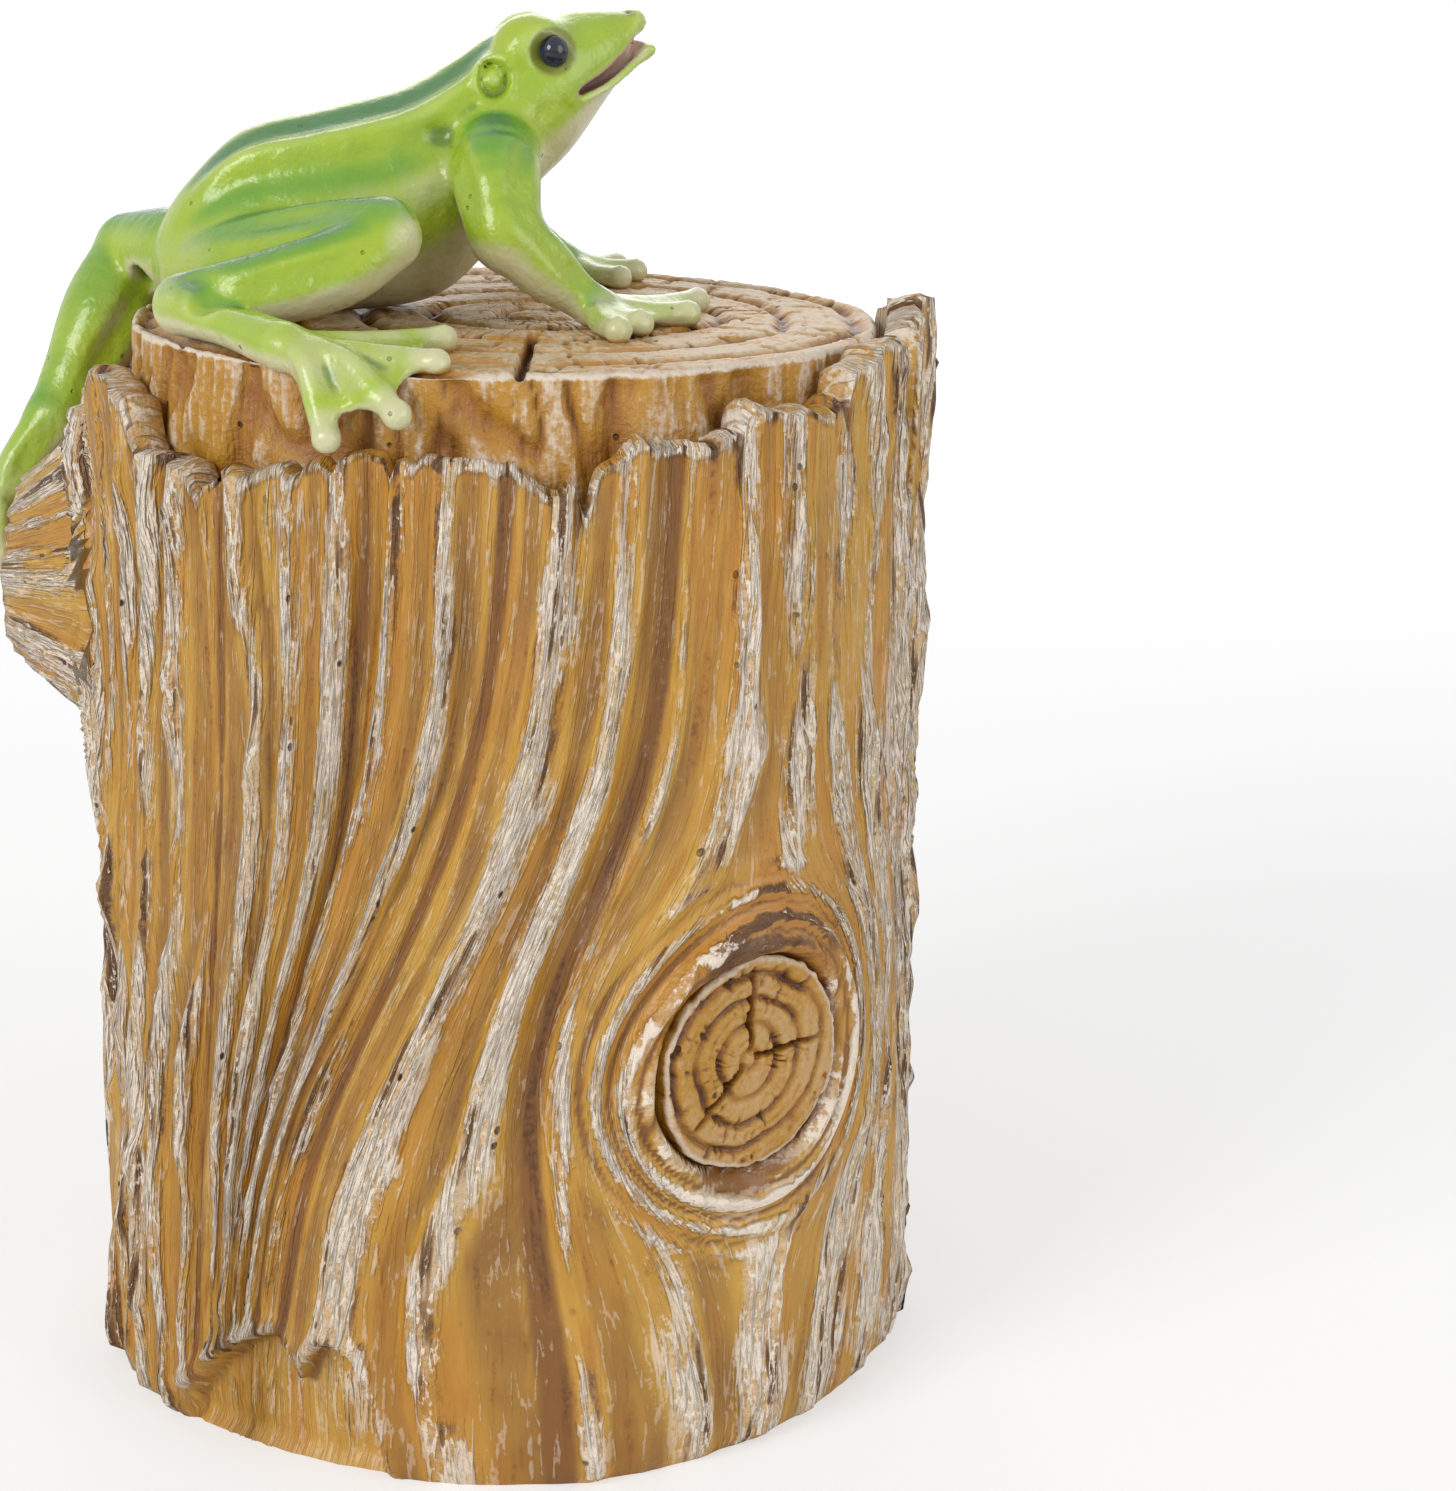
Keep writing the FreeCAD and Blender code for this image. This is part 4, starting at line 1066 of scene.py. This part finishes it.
# Limbs: joints along each as x, y, z, radius
frogLimbs = {
    "right upper arm": [(-1.2, -2.0, 145.6, 4.8), (-1.4, -8.6, 142.2, 5.0),
                        (-0.6, -12.2, 136.4, 4.0)],
    "right forearm": [(-0.8, -12.4, 137.4, 3.4), (3.4, -11.8, 133.2, 3.6),
                      (7.2, -10.8, 130.0, 2.6), (9.6, -10.6, 128.3, 2.4)],
    "left upper arm": [(-1.2, 11.6, 145.6, 4.8), (-1.4, 18.6, 141.6, 4.7),
                       (-1.6, 24.4, 135.6, 3.7)],
    "left forearm": [(-1.6, 24.2, 136.2, 3.3), (2.0, 27.4, 132.6, 3.2),
                     (5.6, 30.0, 129.9, 2.6), (8.0, 31.0, 128.3, 2.3)],
    "right thigh": [(-34.6, -1.0, 130.6, 5.2), (-28.0, -7.6, 132.8, 5.2),
                    (-20.4, -14.2, 135.6, 4.6), (-13.8, -19.0, 137.6, 3.8)],
    "right shin": [(-13.4, -20.0, 136.8, 3.6), (-19.4, -21.4, 133.6, 4.3),
                   (-27.4, -21.6, 131.4, 4.0), (-35.4, -20.6, 129.8, 3.2)],
    "right foot": [(-35.6, -21.4, 129.4, 2.9), (-30.0, -28.0, 128.6, 2.5),
                   (-24.2, -35.8, 127.5, 2.7)],
    "left thigh": [(-33.0, 7.0, 131.2, 6.2), (-38.6, 13.2, 131.2, 5.5),
                   (-45.0, 20.6, 130.8, 4.2)],
    "left shin": [(-44.8, 20.2, 130.2, 4.4), (-47.6, 16.8, 123.8, 5.4),
                  (-50.8, 13.6, 117.2, 4.3), (-53.8, 10.6, 111.8, 3.2)],
    "left foot": [(-54.0, 10.4, 111.6, 3.1), (-57.8, 8.4, 106.4, 2.6),
                  (-59.1, 7.8, 103.0, 2.4)],
}
# Toes: the limb they grow from, then the middle joint and the tip, side by side
frogToes = [
    ("right forearm", (16.5, -3.2, 127.2), (22.4, 2.4, 127.3)),
    ("right forearm", (15.4, -9.6, 127.2), (20.4, -8.6, 127.3)),
    ("right forearm", (12.4, -13.4, 127.2), (14.4, -16.4, 127.3)),
    ("right forearm", (10.0, -16.6, 127.2), (11.6, -21.6, 127.3)),
    ("left forearm", (11.0, 26.4, 127.2), (14.6, 22.8, 127.3)),
    ("left forearm", (12.8, 30.4, 127.2), (17.0, 29.8, 127.3)),
    ("left forearm", (12.0, 34.4, 127.2), (15.0, 35.6, 127.3)),
    ("left forearm", (8.0, 35.4, 127.2), (9.4, 38.6, 127.3)),
    ("right foot", (-15.6, -31.6, 127.2), (-7.6, -28.8, 127.3)),
    ("right foot", (-15.4, -38.6, 127.0), (-8.4, -40.6, 126.6)),
    ("right foot", (-17.6, -41.0, 126.8), (-12.4, -46.2, 122.2)),
    ("right foot", (-21.8, -40.2, 126.6), (-19.6, -44.2, 119.4)),
    ("left foot", (-59.6, 3.6, 101.6), (-59.5, 1.6, 97.0)),
    ("left foot", (-59.8, 7.6, 100.6), (-59.5, 7.0, 94.6)),
    ("left foot", (-59.2, 11.6, 101.6), (-58.9, 12.6, 96.6)),
    ("left foot", (-57.0, 14.6, 103.6), (-57.2, 17.4, 100.0)),
]
toeSizes = {"root": 1.7, "middle": 1.3, "tip": 1.65, "web": 0.55, "webReach": 0.7}


def follow(run, steps=5):
    # A smooth curve through every joint of a run, in any number of columns
    run = np.array(run, float)
    ends = np.concatenate([[2 * run[0] - run[1]], run, [2 * run[-1] - run[-2]]])
    out = []
    for a, b, c, d in zip(ends, ends[1:], ends[2:], ends[3:]):
        for t in np.arange(steps) / steps:
            out.append(0.5 * (2 * b + (c - a) * t + (2 * a - 5 * b + 4 * c - d) * t ** 2
                              + (3 * b - a - 3 * c + d) * t ** 3))
    return np.array(out + [run[-1]])


def carve(a, b, soft):
    return -melt(-a, b, soft)


def rodDistance(p, a, b):
    along = b[:3] - a[:3]
    t = np.clip(((p - a[:3]) @ along) / (along @ along), 0, 1)
    away = np.linalg.norm(p - a[:3] - t[..., None] * along, axis=-1)
    return away - (a[3] + (b[3] - a[3]) * t)


def chainDistance(p, path):
    return np.minimum.reduce([rodDistance(p, a, b) for a, b in zip(path, path[1:])])


def runDistance(run):
    path = follow(run)
    centres, widest = path[:, :3], path[:, 3].max()

    def distance(p):
        return chainDistance(p, path)
    return distance, centres.min(0) - widest, centres.max(0) + widest


def webDistance(corners, thick):
    # A thin skin between three corners
    corners = [np.array(c, float) for c in corners]

    def distance(p):
        normal = np.cross(corners[1] - corners[0], corners[2] - corners[0])
        normal = normal / np.linalg.norm(normal)
        inside = np.ones(p.shape[:-1], bool)
        best = np.full(p.shape[:-1], 1e9)
        for a, b in zip(corners, corners[1:] + corners[:1]):
            t = np.clip(((p - a) @ (b - a)) / ((b - a) @ (b - a)), 0, 1)
            best = np.minimum(best, np.linalg.norm(p - a - t[..., None] * (b - a), axis=-1))
            inside &= ((p - a) @ np.cross(normal, b - a)) >= 0
        flat = np.abs((p - corners[0]) @ normal)
        return np.where(inside, flat, best) - thick
    return distance, np.min(corners, 0) - thick, np.max(corners, 0) + thick


torsoPath = follow(frogBody["torso"], 8)


def torsoPlace(p):
    # Where a point lies in its section: across and up in half sizes, and those sizes
    middle, halfHigh, side, halfWide = (np.interp(p[..., 0], torsoPath[:, 0], torsoPath[:, c])
                                        for c in (1, 2, 3, 4))
    return (p[..., 1] - side) / halfWide, (p[..., 2] - middle) / halfHigh, halfWide, halfHigh


def torsoDistance(p):
    u, w, halfWide, halfHigh = torsoPlace(p)
    q = np.hypot(u, w) + 1e-6
    d = (q - 1) * q / (np.hypot(u / halfWide, w / halfHigh) + 1e-6)
    turn = np.degrees(np.arctan2(np.abs(u), w))
    x = p[..., 0]
    back = ease(-38, -30, x) * (1 - ease(-4, 6, x))
    # A fold runs down each side of the back, with a hollow either side of it
    d = d - back * (1.0 * bell(turn, 44, 8) - 0.7 * bell(turn, 25, 10)
                    - 0.7 * bell(turn, 61, 10))
    # Breast line and the loose skin behind the arm
    d = d + 0.5 * bell(turn, 74, 6) * bell(x, -9, 9)
    ear = np.hypot((x - frogBody["eardrum"][0]) * 1.2, p[..., 2] - frogBody["eardrum"][2])
    sideways = ease(3, 5, np.abs(p[..., 1] - frogBody["middle"]))
    rim = frogBody["eardrum"][3]
    d = d - sideways * (0.7 * bell(ear, rim + 0.25, 0.55) - 0.9 * bell(ear, rim - 0.65, 0.55)
                        + 0.2 * bell(ear, 0, 0.9))
    return np.maximum(np.maximum(d, x - 17.2), -40.9 - x)


def sphereDistance(centre, radius, squash=(1, 1, 1)):
    centre, squash = np.array(centre), np.array(squash)

    def distance(p):
        return np.linalg.norm((p - centre) / squash, axis=-1) - radius
    reachOut = radius * squash
    return distance, centre - reachOut, centre + reachOut


def frogParts():
    # Every form in order: how it joins, how softly, its distance and its box
    parts = []
    low, high = np.array([-42, -10, 122]), np.array([18, 20, 162])
    parts.append(("add", 0.1, torsoDistance, low, high))
    x, away, z, radius = frogBody["brow"]
    for side in (-1, 1):
        centre = (x, frogBody["middle"] + side * away, z)
        parts.append(("add", 1.8, *sphereDistance(centre, radius, (1.15, 1, 1))))
    soft = {"upper arm": 1.6, "forearm": 1.6, "thigh": 1.5, "shin": 0.9, "foot": 1.4}
    for name, run in frogLimbs.items():
        parts.append(("add", soft[name.split(" ", 1)[1]], *runDistance(run)))
    previous = None
    for limb, middle, tip in frogToes:
        root = np.array(frogLimbs[limb][-1][:3])
        run = [(*root, toeSizes["root"]), (*middle, toeSizes["middle"]),
               (*(0.25 * np.array(middle) + 0.75 * np.array(tip)), toeSizes["middle"]),
               (*tip, toeSizes["tip"])]
        parts.append(("add", 1.1, *runDistance(run)))
        share = toeSizes["webReach"]
        end = np.array(middle) * (1 - share) + np.array(tip) * share
        if previous and previous[0] == limb:
            parts.append(("add", 1.5, *webDistance([root, previous[1], end], toeSizes["web"])))
        previous = (limb, end)
    return parts


def mirrored(run, side):
    # A run drawn on the right side, side -1, or carried over to the left
    middle = frogBody["middle"]
    return [(x, middle + side * (middle - y), z, r) for x, y, z, r in run]


def frogCarvings():
    parts = []
    x, away, z, radius = frogBody["socket"]
    for side in (-1, 1):
        centre = (x, frogBody["middle"] + side * away, z)
        parts.append(("cut", 0.7, *sphereDistance(centre, radius, (1.1, 1, 1))))
        for run in frogCreases:
            run = [(*place, r * creaseWidth) for *place, r in mirrored(run, side)]
            parts.append(("cut", 0.5, *runDistance(run)))
    for given in limbFurrows:
        parts.append(("cut", 1.0, *runDistance(furrowRun(*given))))
    return parts


# The lower lip on the right side, from the corner of the mouth to its tip
frogLip = [(8.6, -0.9, 150.5, 0.4), (11.8, 0.9, 152.1, 0.55), (14.6, 3.3, 154.3, 0.6),
           (16.7, 5.6, 156.0, 0.75)]
creaseWidth = 1.25               # times the radii below
# Creases on the right side; the left side repeats them
frogCreases = [
    [(-6.8, -7.2, 149.0, 0.3), (-7.0, -8.4, 144.5, 0.9), (-6.2, -8.2, 139.0, 0.5)],
    [(-11.4, -7.8, 147.0, 0.3), (-10.4, -8.8, 142.5, 0.8), (-9.4, -8.2, 138.5, 0.4)],
    [(-15.0, -7.6, 146.5, 0.2), (-14.4, -8.6, 143.0, 0.6), (-13.6, -8.4, 140.0, 0.3)],
    [(3.8, -3.6, 149.6, 0.3), (4.8, -4.4, 146.0, 0.6), (4.0, -3.8, 142.0, 0.4)],
    [(-4.8, -6.6, 149.6, 0.3), (-1.4, -7.6, 150.2, 0.45), (2.4, -6.0, 149.4, 0.3)],
    [(-4.6, -8.6, 147.4, 0.25), (-1.6, -9.6, 148.2, 0.4), (1.8, -8.4, 147.4, 0.25)],
    [(6.4, -2.4, 150.4, 0.2), (7.4, -1.9, 148.6, 0.35), (7.6, -1.2, 146.6, 0.2)],
]
# Shallow furrows along a limb: the side they lie on, from, to, half width, depth
limbFurrows = [
    ("right thigh", (-0.3, -0.55, 0.8), 0.25, 0.97, 2.0, 0.9),
    ("right shin", (0.0, -1.0, 0.25), 0.1, 0.85, 2.2, 0.7),
    ("right upper arm", (0.5, -1.0, 0.0), 0.3, 0.95, 2.0, 0.5),
    ("right upper arm", (-0.7, -0.7, 0.0), 0.2, 0.9, 1.8, 0.6),
    ("right forearm", (0.2, -0.8, 0.7), 0.1, 0.95, 1.8, 0.6),
    ("right foot", (0.3, -0.4, 1.0), 0.1, 0.9, 1.4, 0.5),
    ("left shin", (0.6, -0.8, 0.2), 0.1, 0.9, 2.2, 1.0),
    ("left foot", (0.3, -0.9, 0.3), 0.1, 0.9, 1.4, 0.6),
]


def furrowRun(limb, side, begin, end, wide, deep):
    # A round cutter that dips into the limb between its two ends
    path = follow(frogLimbs[limb], 8)
    share = np.linspace(begin, end, 9)
    spots = np.stack([np.interp(share, np.linspace(0, 1, len(path)), path[:, c])
                      for c in range(4)], axis=1)
    along = np.gradient(spots[:, :3], axis=0)
    along /= np.linalg.norm(along, axis=1)[:, None]
    outward = np.array(side) - along * (along @ np.array(side))[:, None]
    outward /= np.linalg.norm(outward, axis=1)[:, None]
    dips = deep * (1.4 * np.sin(np.pi * np.linspace(0, 1, 9)) - 0.4)
    centres = spots[:, :3] + outward * (spots[:, 3] + wide - dips)[:, None]
    return [(*place, wide) for place in centres]


def frogLips():
    x, y, z, radius = frogBody["nose"]
    parts = [("add", 1.0, *sphereDistance((x, y, z), radius, (1.3, 1, 1))),
             ("add", 0.3, *runDistance(frogBody["tongue"]))]
    for side in (-1, 1):
        parts.append(("add", 0.5, *runDistance(mirrored(frogLip, side))))
        x, away, z, radius = frogBody["nostril"]
        centre = (x, frogBody["snout"] + side * away, z)
        parts.append(("cut", 0.3, *sphereDistance(centre, radius)))
    return parts


def nearField(axes, parts, field):
    for kind, soft, distance, low, high in parts:
        window = tuple(slice(*np.searchsorted(axis, (lo - 3, hi + 3)))
                       for axis, lo, hi in zip(axes, low, high))
        grid = np.meshgrid(*(axis[w] for axis, w in zip(axes, window)), indexing="ij")
        found = distance(np.stack(grid, -1))
        join = melt if kind == "add" else carve
        field[window] = join(field[window], found, soft)
    return field


def netSurface(axes, field):
    # One point in each cell that the surface crosses, and a quad round each crossed edge
    inside = field < 0
    shape = np.array(field.shape) - 1
    total, count, quads = np.zeros((shape.prod(), 3)), np.zeros(shape.prod()), []

    def cellIndex(places):
        return (places[:, 0] * shape[1] + places[:, 1]) * shape[2] + places[:, 2]

    for axis in range(3):
        others = [a for a in range(3) if a != axis]
        a = [slice(None)] * 3
        b = [slice(None)] * 3
        a[axis], b[axis] = slice(0, -1), slice(1, None)
        crossed = np.argwhere(inside[tuple(a)] != inside[tuple(b)])
        far = crossed.copy()
        far[:, axis] += 1
        va, vb = field[tuple(crossed.T)], field[tuple(far.T)]
        spot = crossed.astype(float)
        spot[:, axis] += va / (va - vb)
        ring = []
        for du, dv in ((0, 0), (-1, 0), (-1, -1), (0, -1)):
            cell = crossed.copy()
            cell[:, others[0]] += du
            cell[:, others[1]] += dv
            index = cellIndex(cell)
            ring.append(index)
            for c in range(3):
                total[:, c] += np.bincount(index, spot[:, c], len(total))
            count += np.bincount(index, minlength=len(count))
        ring = np.stack(ring, -1)
        turned = (va < 0) == (axis == 1)
        ring[turned] = ring[turned][:, ::-1]
        quads.append(ring)
    used = np.flatnonzero(count)
    renumber = np.zeros(len(count), int)
    renumber[used] = np.arange(len(used))
    places = total[used] / count[used, None]
    start = np.array([axis[0] for axis in axes])
    return start + places * (axes[0][1] - axes[0][0]), renumber[np.concatenate(quads)]


def smoothed(places, quads, passes):
    a = quads.ravel()
    b = np.roll(quads, -1, axis=1).ravel()
    weight = np.bincount(a, minlength=len(places))[:, None]
    for _ in range(passes):
        near = np.stack([np.bincount(a, places[b, c], len(places)) for c in range(3)], -1)
        places = places * 0.5 + 0.5 * near / weight
    return places


def pointNormals(places, quads):
    across = np.cross(places[quads[:, 2]] - places[quads[:, 0]],
                      places[quads[:, 3]] - places[quads[:, 1]])
    total = np.stack([sum(np.bincount(quads[:, k], across[:, c], len(places))
                          for k in range(4)) for c in range(3)], -1)
    return total / np.linalg.norm(total, axis=1)[:, None]


def turnedFrog(places):
    a = math.radians(frogBody["turn"])
    x, y, z = places.T
    return np.stack([x * math.cos(a) - y * math.sin(a),
                     x * math.sin(a) + y * math.cos(a), z], -1)


def makeFrog():
    h = frogBody["voxel"]
    axes = [np.arange(low, high, h) for low, high in frogBody["box"]]
    field = np.full([len(a) for a in axes], 9.0, np.float32)
    field = nearField(axes, frogParts(), field)
    field = nearField(axes, frogCarvings(), field)
    gx, gy, gz = np.meshgrid(*axes, indexing="ij", sparse=True)
    flatX, flatZ = np.meshgrid(axes[0], axes[2], indexing="ij")
    gap = insideDistance(flatX, flatZ, frogBody["mouth"])[:, None, :]
    field = np.maximum(field, gap)
    field = nearField(axes, frogLips(), field)
    solid = np.maximum(np.hypot(gx, gy) - frogBody["floorRadius"], gz - frogBody["floor"])
    field = np.maximum(field, -solid)
    places, quads = netSurface(axes, field)
    places = smoothed(places, quads, frogBody["polish"])
    normals = pointNormals(places, quads)
    marks = frogMarks(places, normals)
    # How far the skin dips below, or stands above, what lies round it
    sunk = ((smoothed(places, quads, frogBody["foldReach"]) - places) * normals).sum(1)
    marks["crease"] = ease(0.05, 0.35, sunk) * (1 - marks["pink"])
    marks["ridge"] = ease(0.03, 0.4, -sunk) * (1 - marks["pink"])
    mesh = meshFrom("frog", turnedFrog(places), quads, marks)
    return addPiece("frog", mesh, [frogSkin])


def frogMarks(places, normals):
    # Where each colour is sprayed, from 0 to 1
    x, y, z = places.T
    u, w, _, _ = torsoPlace(places)
    turn = np.degrees(np.arctan2(np.abs(u), w))
    onTorso = 1 - ease(0.2, 1.6, torsoDistance(places))
    upward = normals[:, 2]
    along = ease(-39, -33, x)
    deep = bell(turn, 20, 11) * along * (1 - ease(-2, 6, x))
    deep = deep + 0.8 * bell(turn, 6, 30) * bell(x, 3, 3.5)
    leaf = 0.75 * bell(turn, 68, 12) * along * (1 - ease(-14, -4, x))
    leaf = leaf + 0.3 * bell(turn, 30, 22) * along
    deep, leaf = deep * onTorso, leaf * onTorso
    for name, share in (("right upper arm", 0.9), ("left upper arm", 0.9),
                        ("right forearm", 0.8), ("left forearm", 0.8), ("right thigh", 0.8),
                        ("left thigh", 0.9), ("right shin", 0.8), ("left shin", 0.9)):
        near = chainDistance(places, follow(frogLimbs[name]))
        on = (1 - ease(0.5, 2.0, near)) * (1 - 0.7 * onTorso)
        top = ease(0.1, 0.9, upward)
        leaf = np.maximum(leaf, 1.1 * share * on * top)
        deep = np.maximum(deep, 0.95 * share * on * ease(0.7, 1.0, upward))
    pale = ease(97, 132, turn) * onTorso
    pale = np.maximum(pale, 0.9 * ease(-0.3, 0.55, -upward) * (1 - onTorso))
    for _, middle, tip in frogToes:
        far = np.linalg.norm(places - np.array(tip), axis=1)
        pale = np.maximum(pale, 0.85 * (1 - ease(0.8, 6.0, far)))
        far = np.linalg.norm(places - np.array(middle), axis=1)
        pale = np.maximum(pale, 0.5 * (1 - ease(2, 8, far)))
    knee = np.linalg.norm(places - np.array([-12.0, -21.5, 136.5]), axis=1)
    pale = np.maximum(pale, 0.7 * (1 - ease(1.5, 4.5, knee)))
    # Thin paint on the flank and over the hips
    flank = bell(turn, 84, 16) * bell(x, -10, 13) * onTorso
    pale = np.maximum(pale, 0.42 * flank)
    pale = np.maximum(pale, 0.4 * bell(x, -37, 4) * ease(40, 90, turn))
    slot = insideDistance(x, z, frogBody["mouth"])
    lip = np.min([chainDistance(places, np.array(mirrored(frogLip, side)))
                  for side in (-1, 1)], axis=0)
    pink = ease(-0.4, -0.15, slot) * ease(7, 9, x) * ease(0.05, 0.3, lip)
    pink = pink * (1 - ease(157.4, 158.2, z))
    sx, _, sz, _ = frogBody["socket"]
    olive = 1 - ease(2.5, 2.85, np.hypot(x - sx, z - sz))
    olive = olive * ease(2.5, 4, np.abs(y - frogBody["middle"]))
    nx, away, nz, _ = frogBody["nostril"]
    sideways = np.abs(np.abs(y - frogBody["snout"]) - away)
    far = np.hypot(np.hypot(x - nx, z - nz), sideways)
    olive = np.maximum(olive, 1 - ease(0.5, 1.0, far))
    touch = (1 - ease(125.9, 127.2, z)) * (1 - ease(42, 44, np.hypot(x, y)))
    return {"deep": deep, "leaf": leaf, "pale": pale, "pink": pink, "olive": olive,
            "touch": touch}


eyeColours = {"bead": (0.006, 0.008, 0.022), "sheen": (0.02, 0.03, 0.09)}


def eyePaint(pen):
    place = pen.node("ShaderNodeTexCoord", out=3)
    cloud = speckle(pen, place, 500.0, 2.0)
    return {
        "Base Color": colour(pen, cloud.over(0.4, 0.65), eyeColours["bead"],
                             eyeColours["sheen"]),
        "Roughness": 0.08 + cloud * 0.06,
        "Coat Weight": 0.2,
        "Coat Roughness": 0.05,
        "Normal": pen.node("ShaderNodeBump", Strength=0.1, Distance=0.0002, Height=cloud),
    }


eyeGloss = finish("blackEyeGloss", eyePaint)


def makeEye(side):
    # An oval bead, a little taller than it is wide, set in its socket
    x, away, z, radius = frogBody["eye"]
    rows, columns = 24, 40
    tilt = np.linspace(0, np.pi, rows + 2)[1:-1, None]
    turn = 2 * np.pi * np.arange(columns)[None] / columns
    ball = np.stack([np.sin(tilt) * np.cos(turn), np.cos(tilt) + 0 * turn,
                     np.sin(tilt) * np.sin(turn)], -1).reshape(-1, 3)
    ball = np.concatenate([ball, [[0, 1, 0], [0, -1, 0]]]) * (radius, radius, radius * 1.14)
    places = turnedFrog(ball + (x, frogBody["middle"] + side * away, z))
    name = "eyeRight" if side < 0 else "eyeLeft"
    mesh = meshFrom(name, places, tubeFaces(rows, columns, True, True))
    return addPiece(name, mesh, [eyeGloss])


frogPiece = makeFrog()
print("frog made", len(frogPiece.data.polygons))
eyes = [makeEye(-1), makeEye(1)]


for piece in [barkPiece] + sawnPieces:
    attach(piece, "stump")
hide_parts("stump_casting")
for piece in coverPieces:
    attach(piece, "cover")
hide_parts("base_cover")
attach(frogPiece, "stump")
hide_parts("frog_casting")
for piece, node in zip(eyes, ("eye_right", "eye_left")):
    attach(piece, "stump")
    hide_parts(node)


studio = {
    "lens": 69.91, "place": (-9.05, -339.24, 174.09), "yaw": 0.1059, "pitch": 0.2877,
    "roll": 0.0213, "side": 38.0, "worldGrey": 0.5, "floorSize": 16.0,
    "floorGrey": 0.9, "glowShare": 0.4, "glow": 1.22, "glowGain": 0.9,
    "glowReach": (0.15, 1.5),
    "lamps": [("key", (-0.85, -0.75, 0.62), 0.6, 7.6), ("fill", (0.9, -0.7, 0.4), 0.9, 4.4),
              ("back", (0.1, 0.95, 0.5), 0.8, 2.5)],
}


def makeCamera():
    # The camera's own axes are set beside the stump's front, then swung round to the side
    yaw, pitch, roll = studio["yaw"], studio["pitch"], studio["roll"]
    ahead = Vector((math.sin(yaw) * math.cos(pitch), math.cos(yaw) * math.cos(pitch),
                    -math.sin(pitch)))
    level = Vector((math.cos(yaw), -math.sin(yaw), 0))
    upward = level.cross(ahead)
    right = level * math.cos(roll) + upward * math.sin(roll)
    upward = upward * math.cos(roll) - level * math.sin(roll)
    axes = Matrix((right, upward, -ahead)).transposed().to_4x4()
    swing = Matrix.Rotation(math.radians(studio["side"]), 4, "Z")
    data = bpy.data.cameras.new("camera")
    data.lens, data.sensor_width = studio["lens"], 36.0
    data.clip_start, data.clip_end = 0.01, 20
    camera = bpy.data.objects.new("camera", data)
    camera.matrix_world = swing @ Matrix.Translation(Vector(studio["place"]) * mm) @ axes
    bpy.context.scene.collection.objects.link(camera)
    bpy.context.scene.camera = camera


def whiteRays(pen):
    # Rays that see the backdrop as white: straight ones and those through or off a surface
    straight, glossy, through = (pen.node("ShaderNodeLightPath", out=name) for name in
                                 ("Is Camera Ray", "Is Glossy Ray", "Is Transmission Ray"))
    return pen.maths("MAXIMUM", pen.maths("MAXIMUM", straight, glossy), through)


def makeLight():
    swing = Matrix.Rotation(math.radians(studio["side"]), 3, "Z")
    for name, place, size, power in studio["lamps"]:
        data = bpy.data.lights.new(name, "AREA")
        data.shape, data.size, data.energy = "DISK", size, power
        lamp = bpy.data.objects.new(name, data)
        lamp.location = swing @ Vector(place)
        aim = Vector((0, 0, 0.07)) - lamp.location
        lamp.rotation_euler = aim.to_track_quat("-Z", "Y").to_euler()
        bpy.context.scene.collection.objects.link(lamp)
    world = bpy.data.worlds.new("studio")
    bpy.context.scene.world = world
    world.use_nodes = True
    tree = world.node_tree
    tree.nodes.clear()
    pen = Pen(tree)
    seen = whiteRays(pen)
    grey = (studio["worldGrey"],) * 3 + (1.0,)
    shade = pen.node("ShaderNodeBackground", Color=grey, Strength=1.0)
    white = pen.node("ShaderNodeBackground", Color=(1.0, 1.0, 1.0, 1.0), Strength=1.0)
    both = pen.node("ShaderNodeMixShader", i0=seen, i1=shade, i2=white)
    tree.links.new(both.socket, tree.nodes.new("ShaderNodeOutputWorld").inputs[0])


def makeFloor():
    half = studio["floorSize"] / 2
    mesh = bpy.data.meshes.new("floor")
    mesh.from_pydata([(-half, -half, 0), (half, -half, 0), (half, half, 0), (-half, half, 0)],
                     [], [(0, 1, 2, 3)])
    floor = bpy.data.objects.new("floor", mesh)
    material = bpy.data.materials.new("paleFloor")
    material.use_nodes = True
    tree = material.node_tree
    shader = tree.nodes["Principled BSDF"]
    shader.inputs["Base Color"].default_value = (studio["floorGrey"],) * 3 + (1,)
    shader.inputs["Roughness"].default_value = 0.8
    shader.inputs["Specular IOR Level"].default_value = 0.1
    pen = Pen(tree)
    # A glow that only the camera sees makes up for the lamps' falling light farther out
    place = pen.node("ShaderNodeTexCoord", out=3)
    far = pen.node("ShaderNodeVectorMath", {"operation": "LENGTH"}, out=1, i0=place)
    glow = studio["glow"] + far.over(*studio["glowReach"]) * studio["glowGain"]
    black = (0.0, 0.0, 0.0, 1.0)
    white = pen.node("ShaderNodeBsdfPrincipled", Base_Color=black, Specular_IOR_Level=0.0,
                     Emission_Color=glow, Emission_Strength=1.0)
    straight = pen.node("ShaderNodeLightPath", out="Is Camera Ray")
    both = pen.node("ShaderNodeMixShader", i0=straight * studio["glowShare"],
                    i1=Pen(tree, shader.outputs[0]), i2=white)
    tree.links.new(both.socket, tree.nodes["Material Output"].inputs[0])
    mesh.materials.append(material)
    bpy.context.scene.collection.objects.link(floor)


makeCamera()
makeLight()
makeFloor()
bpy.context.scene.view_settings.view_transform = "Standard"
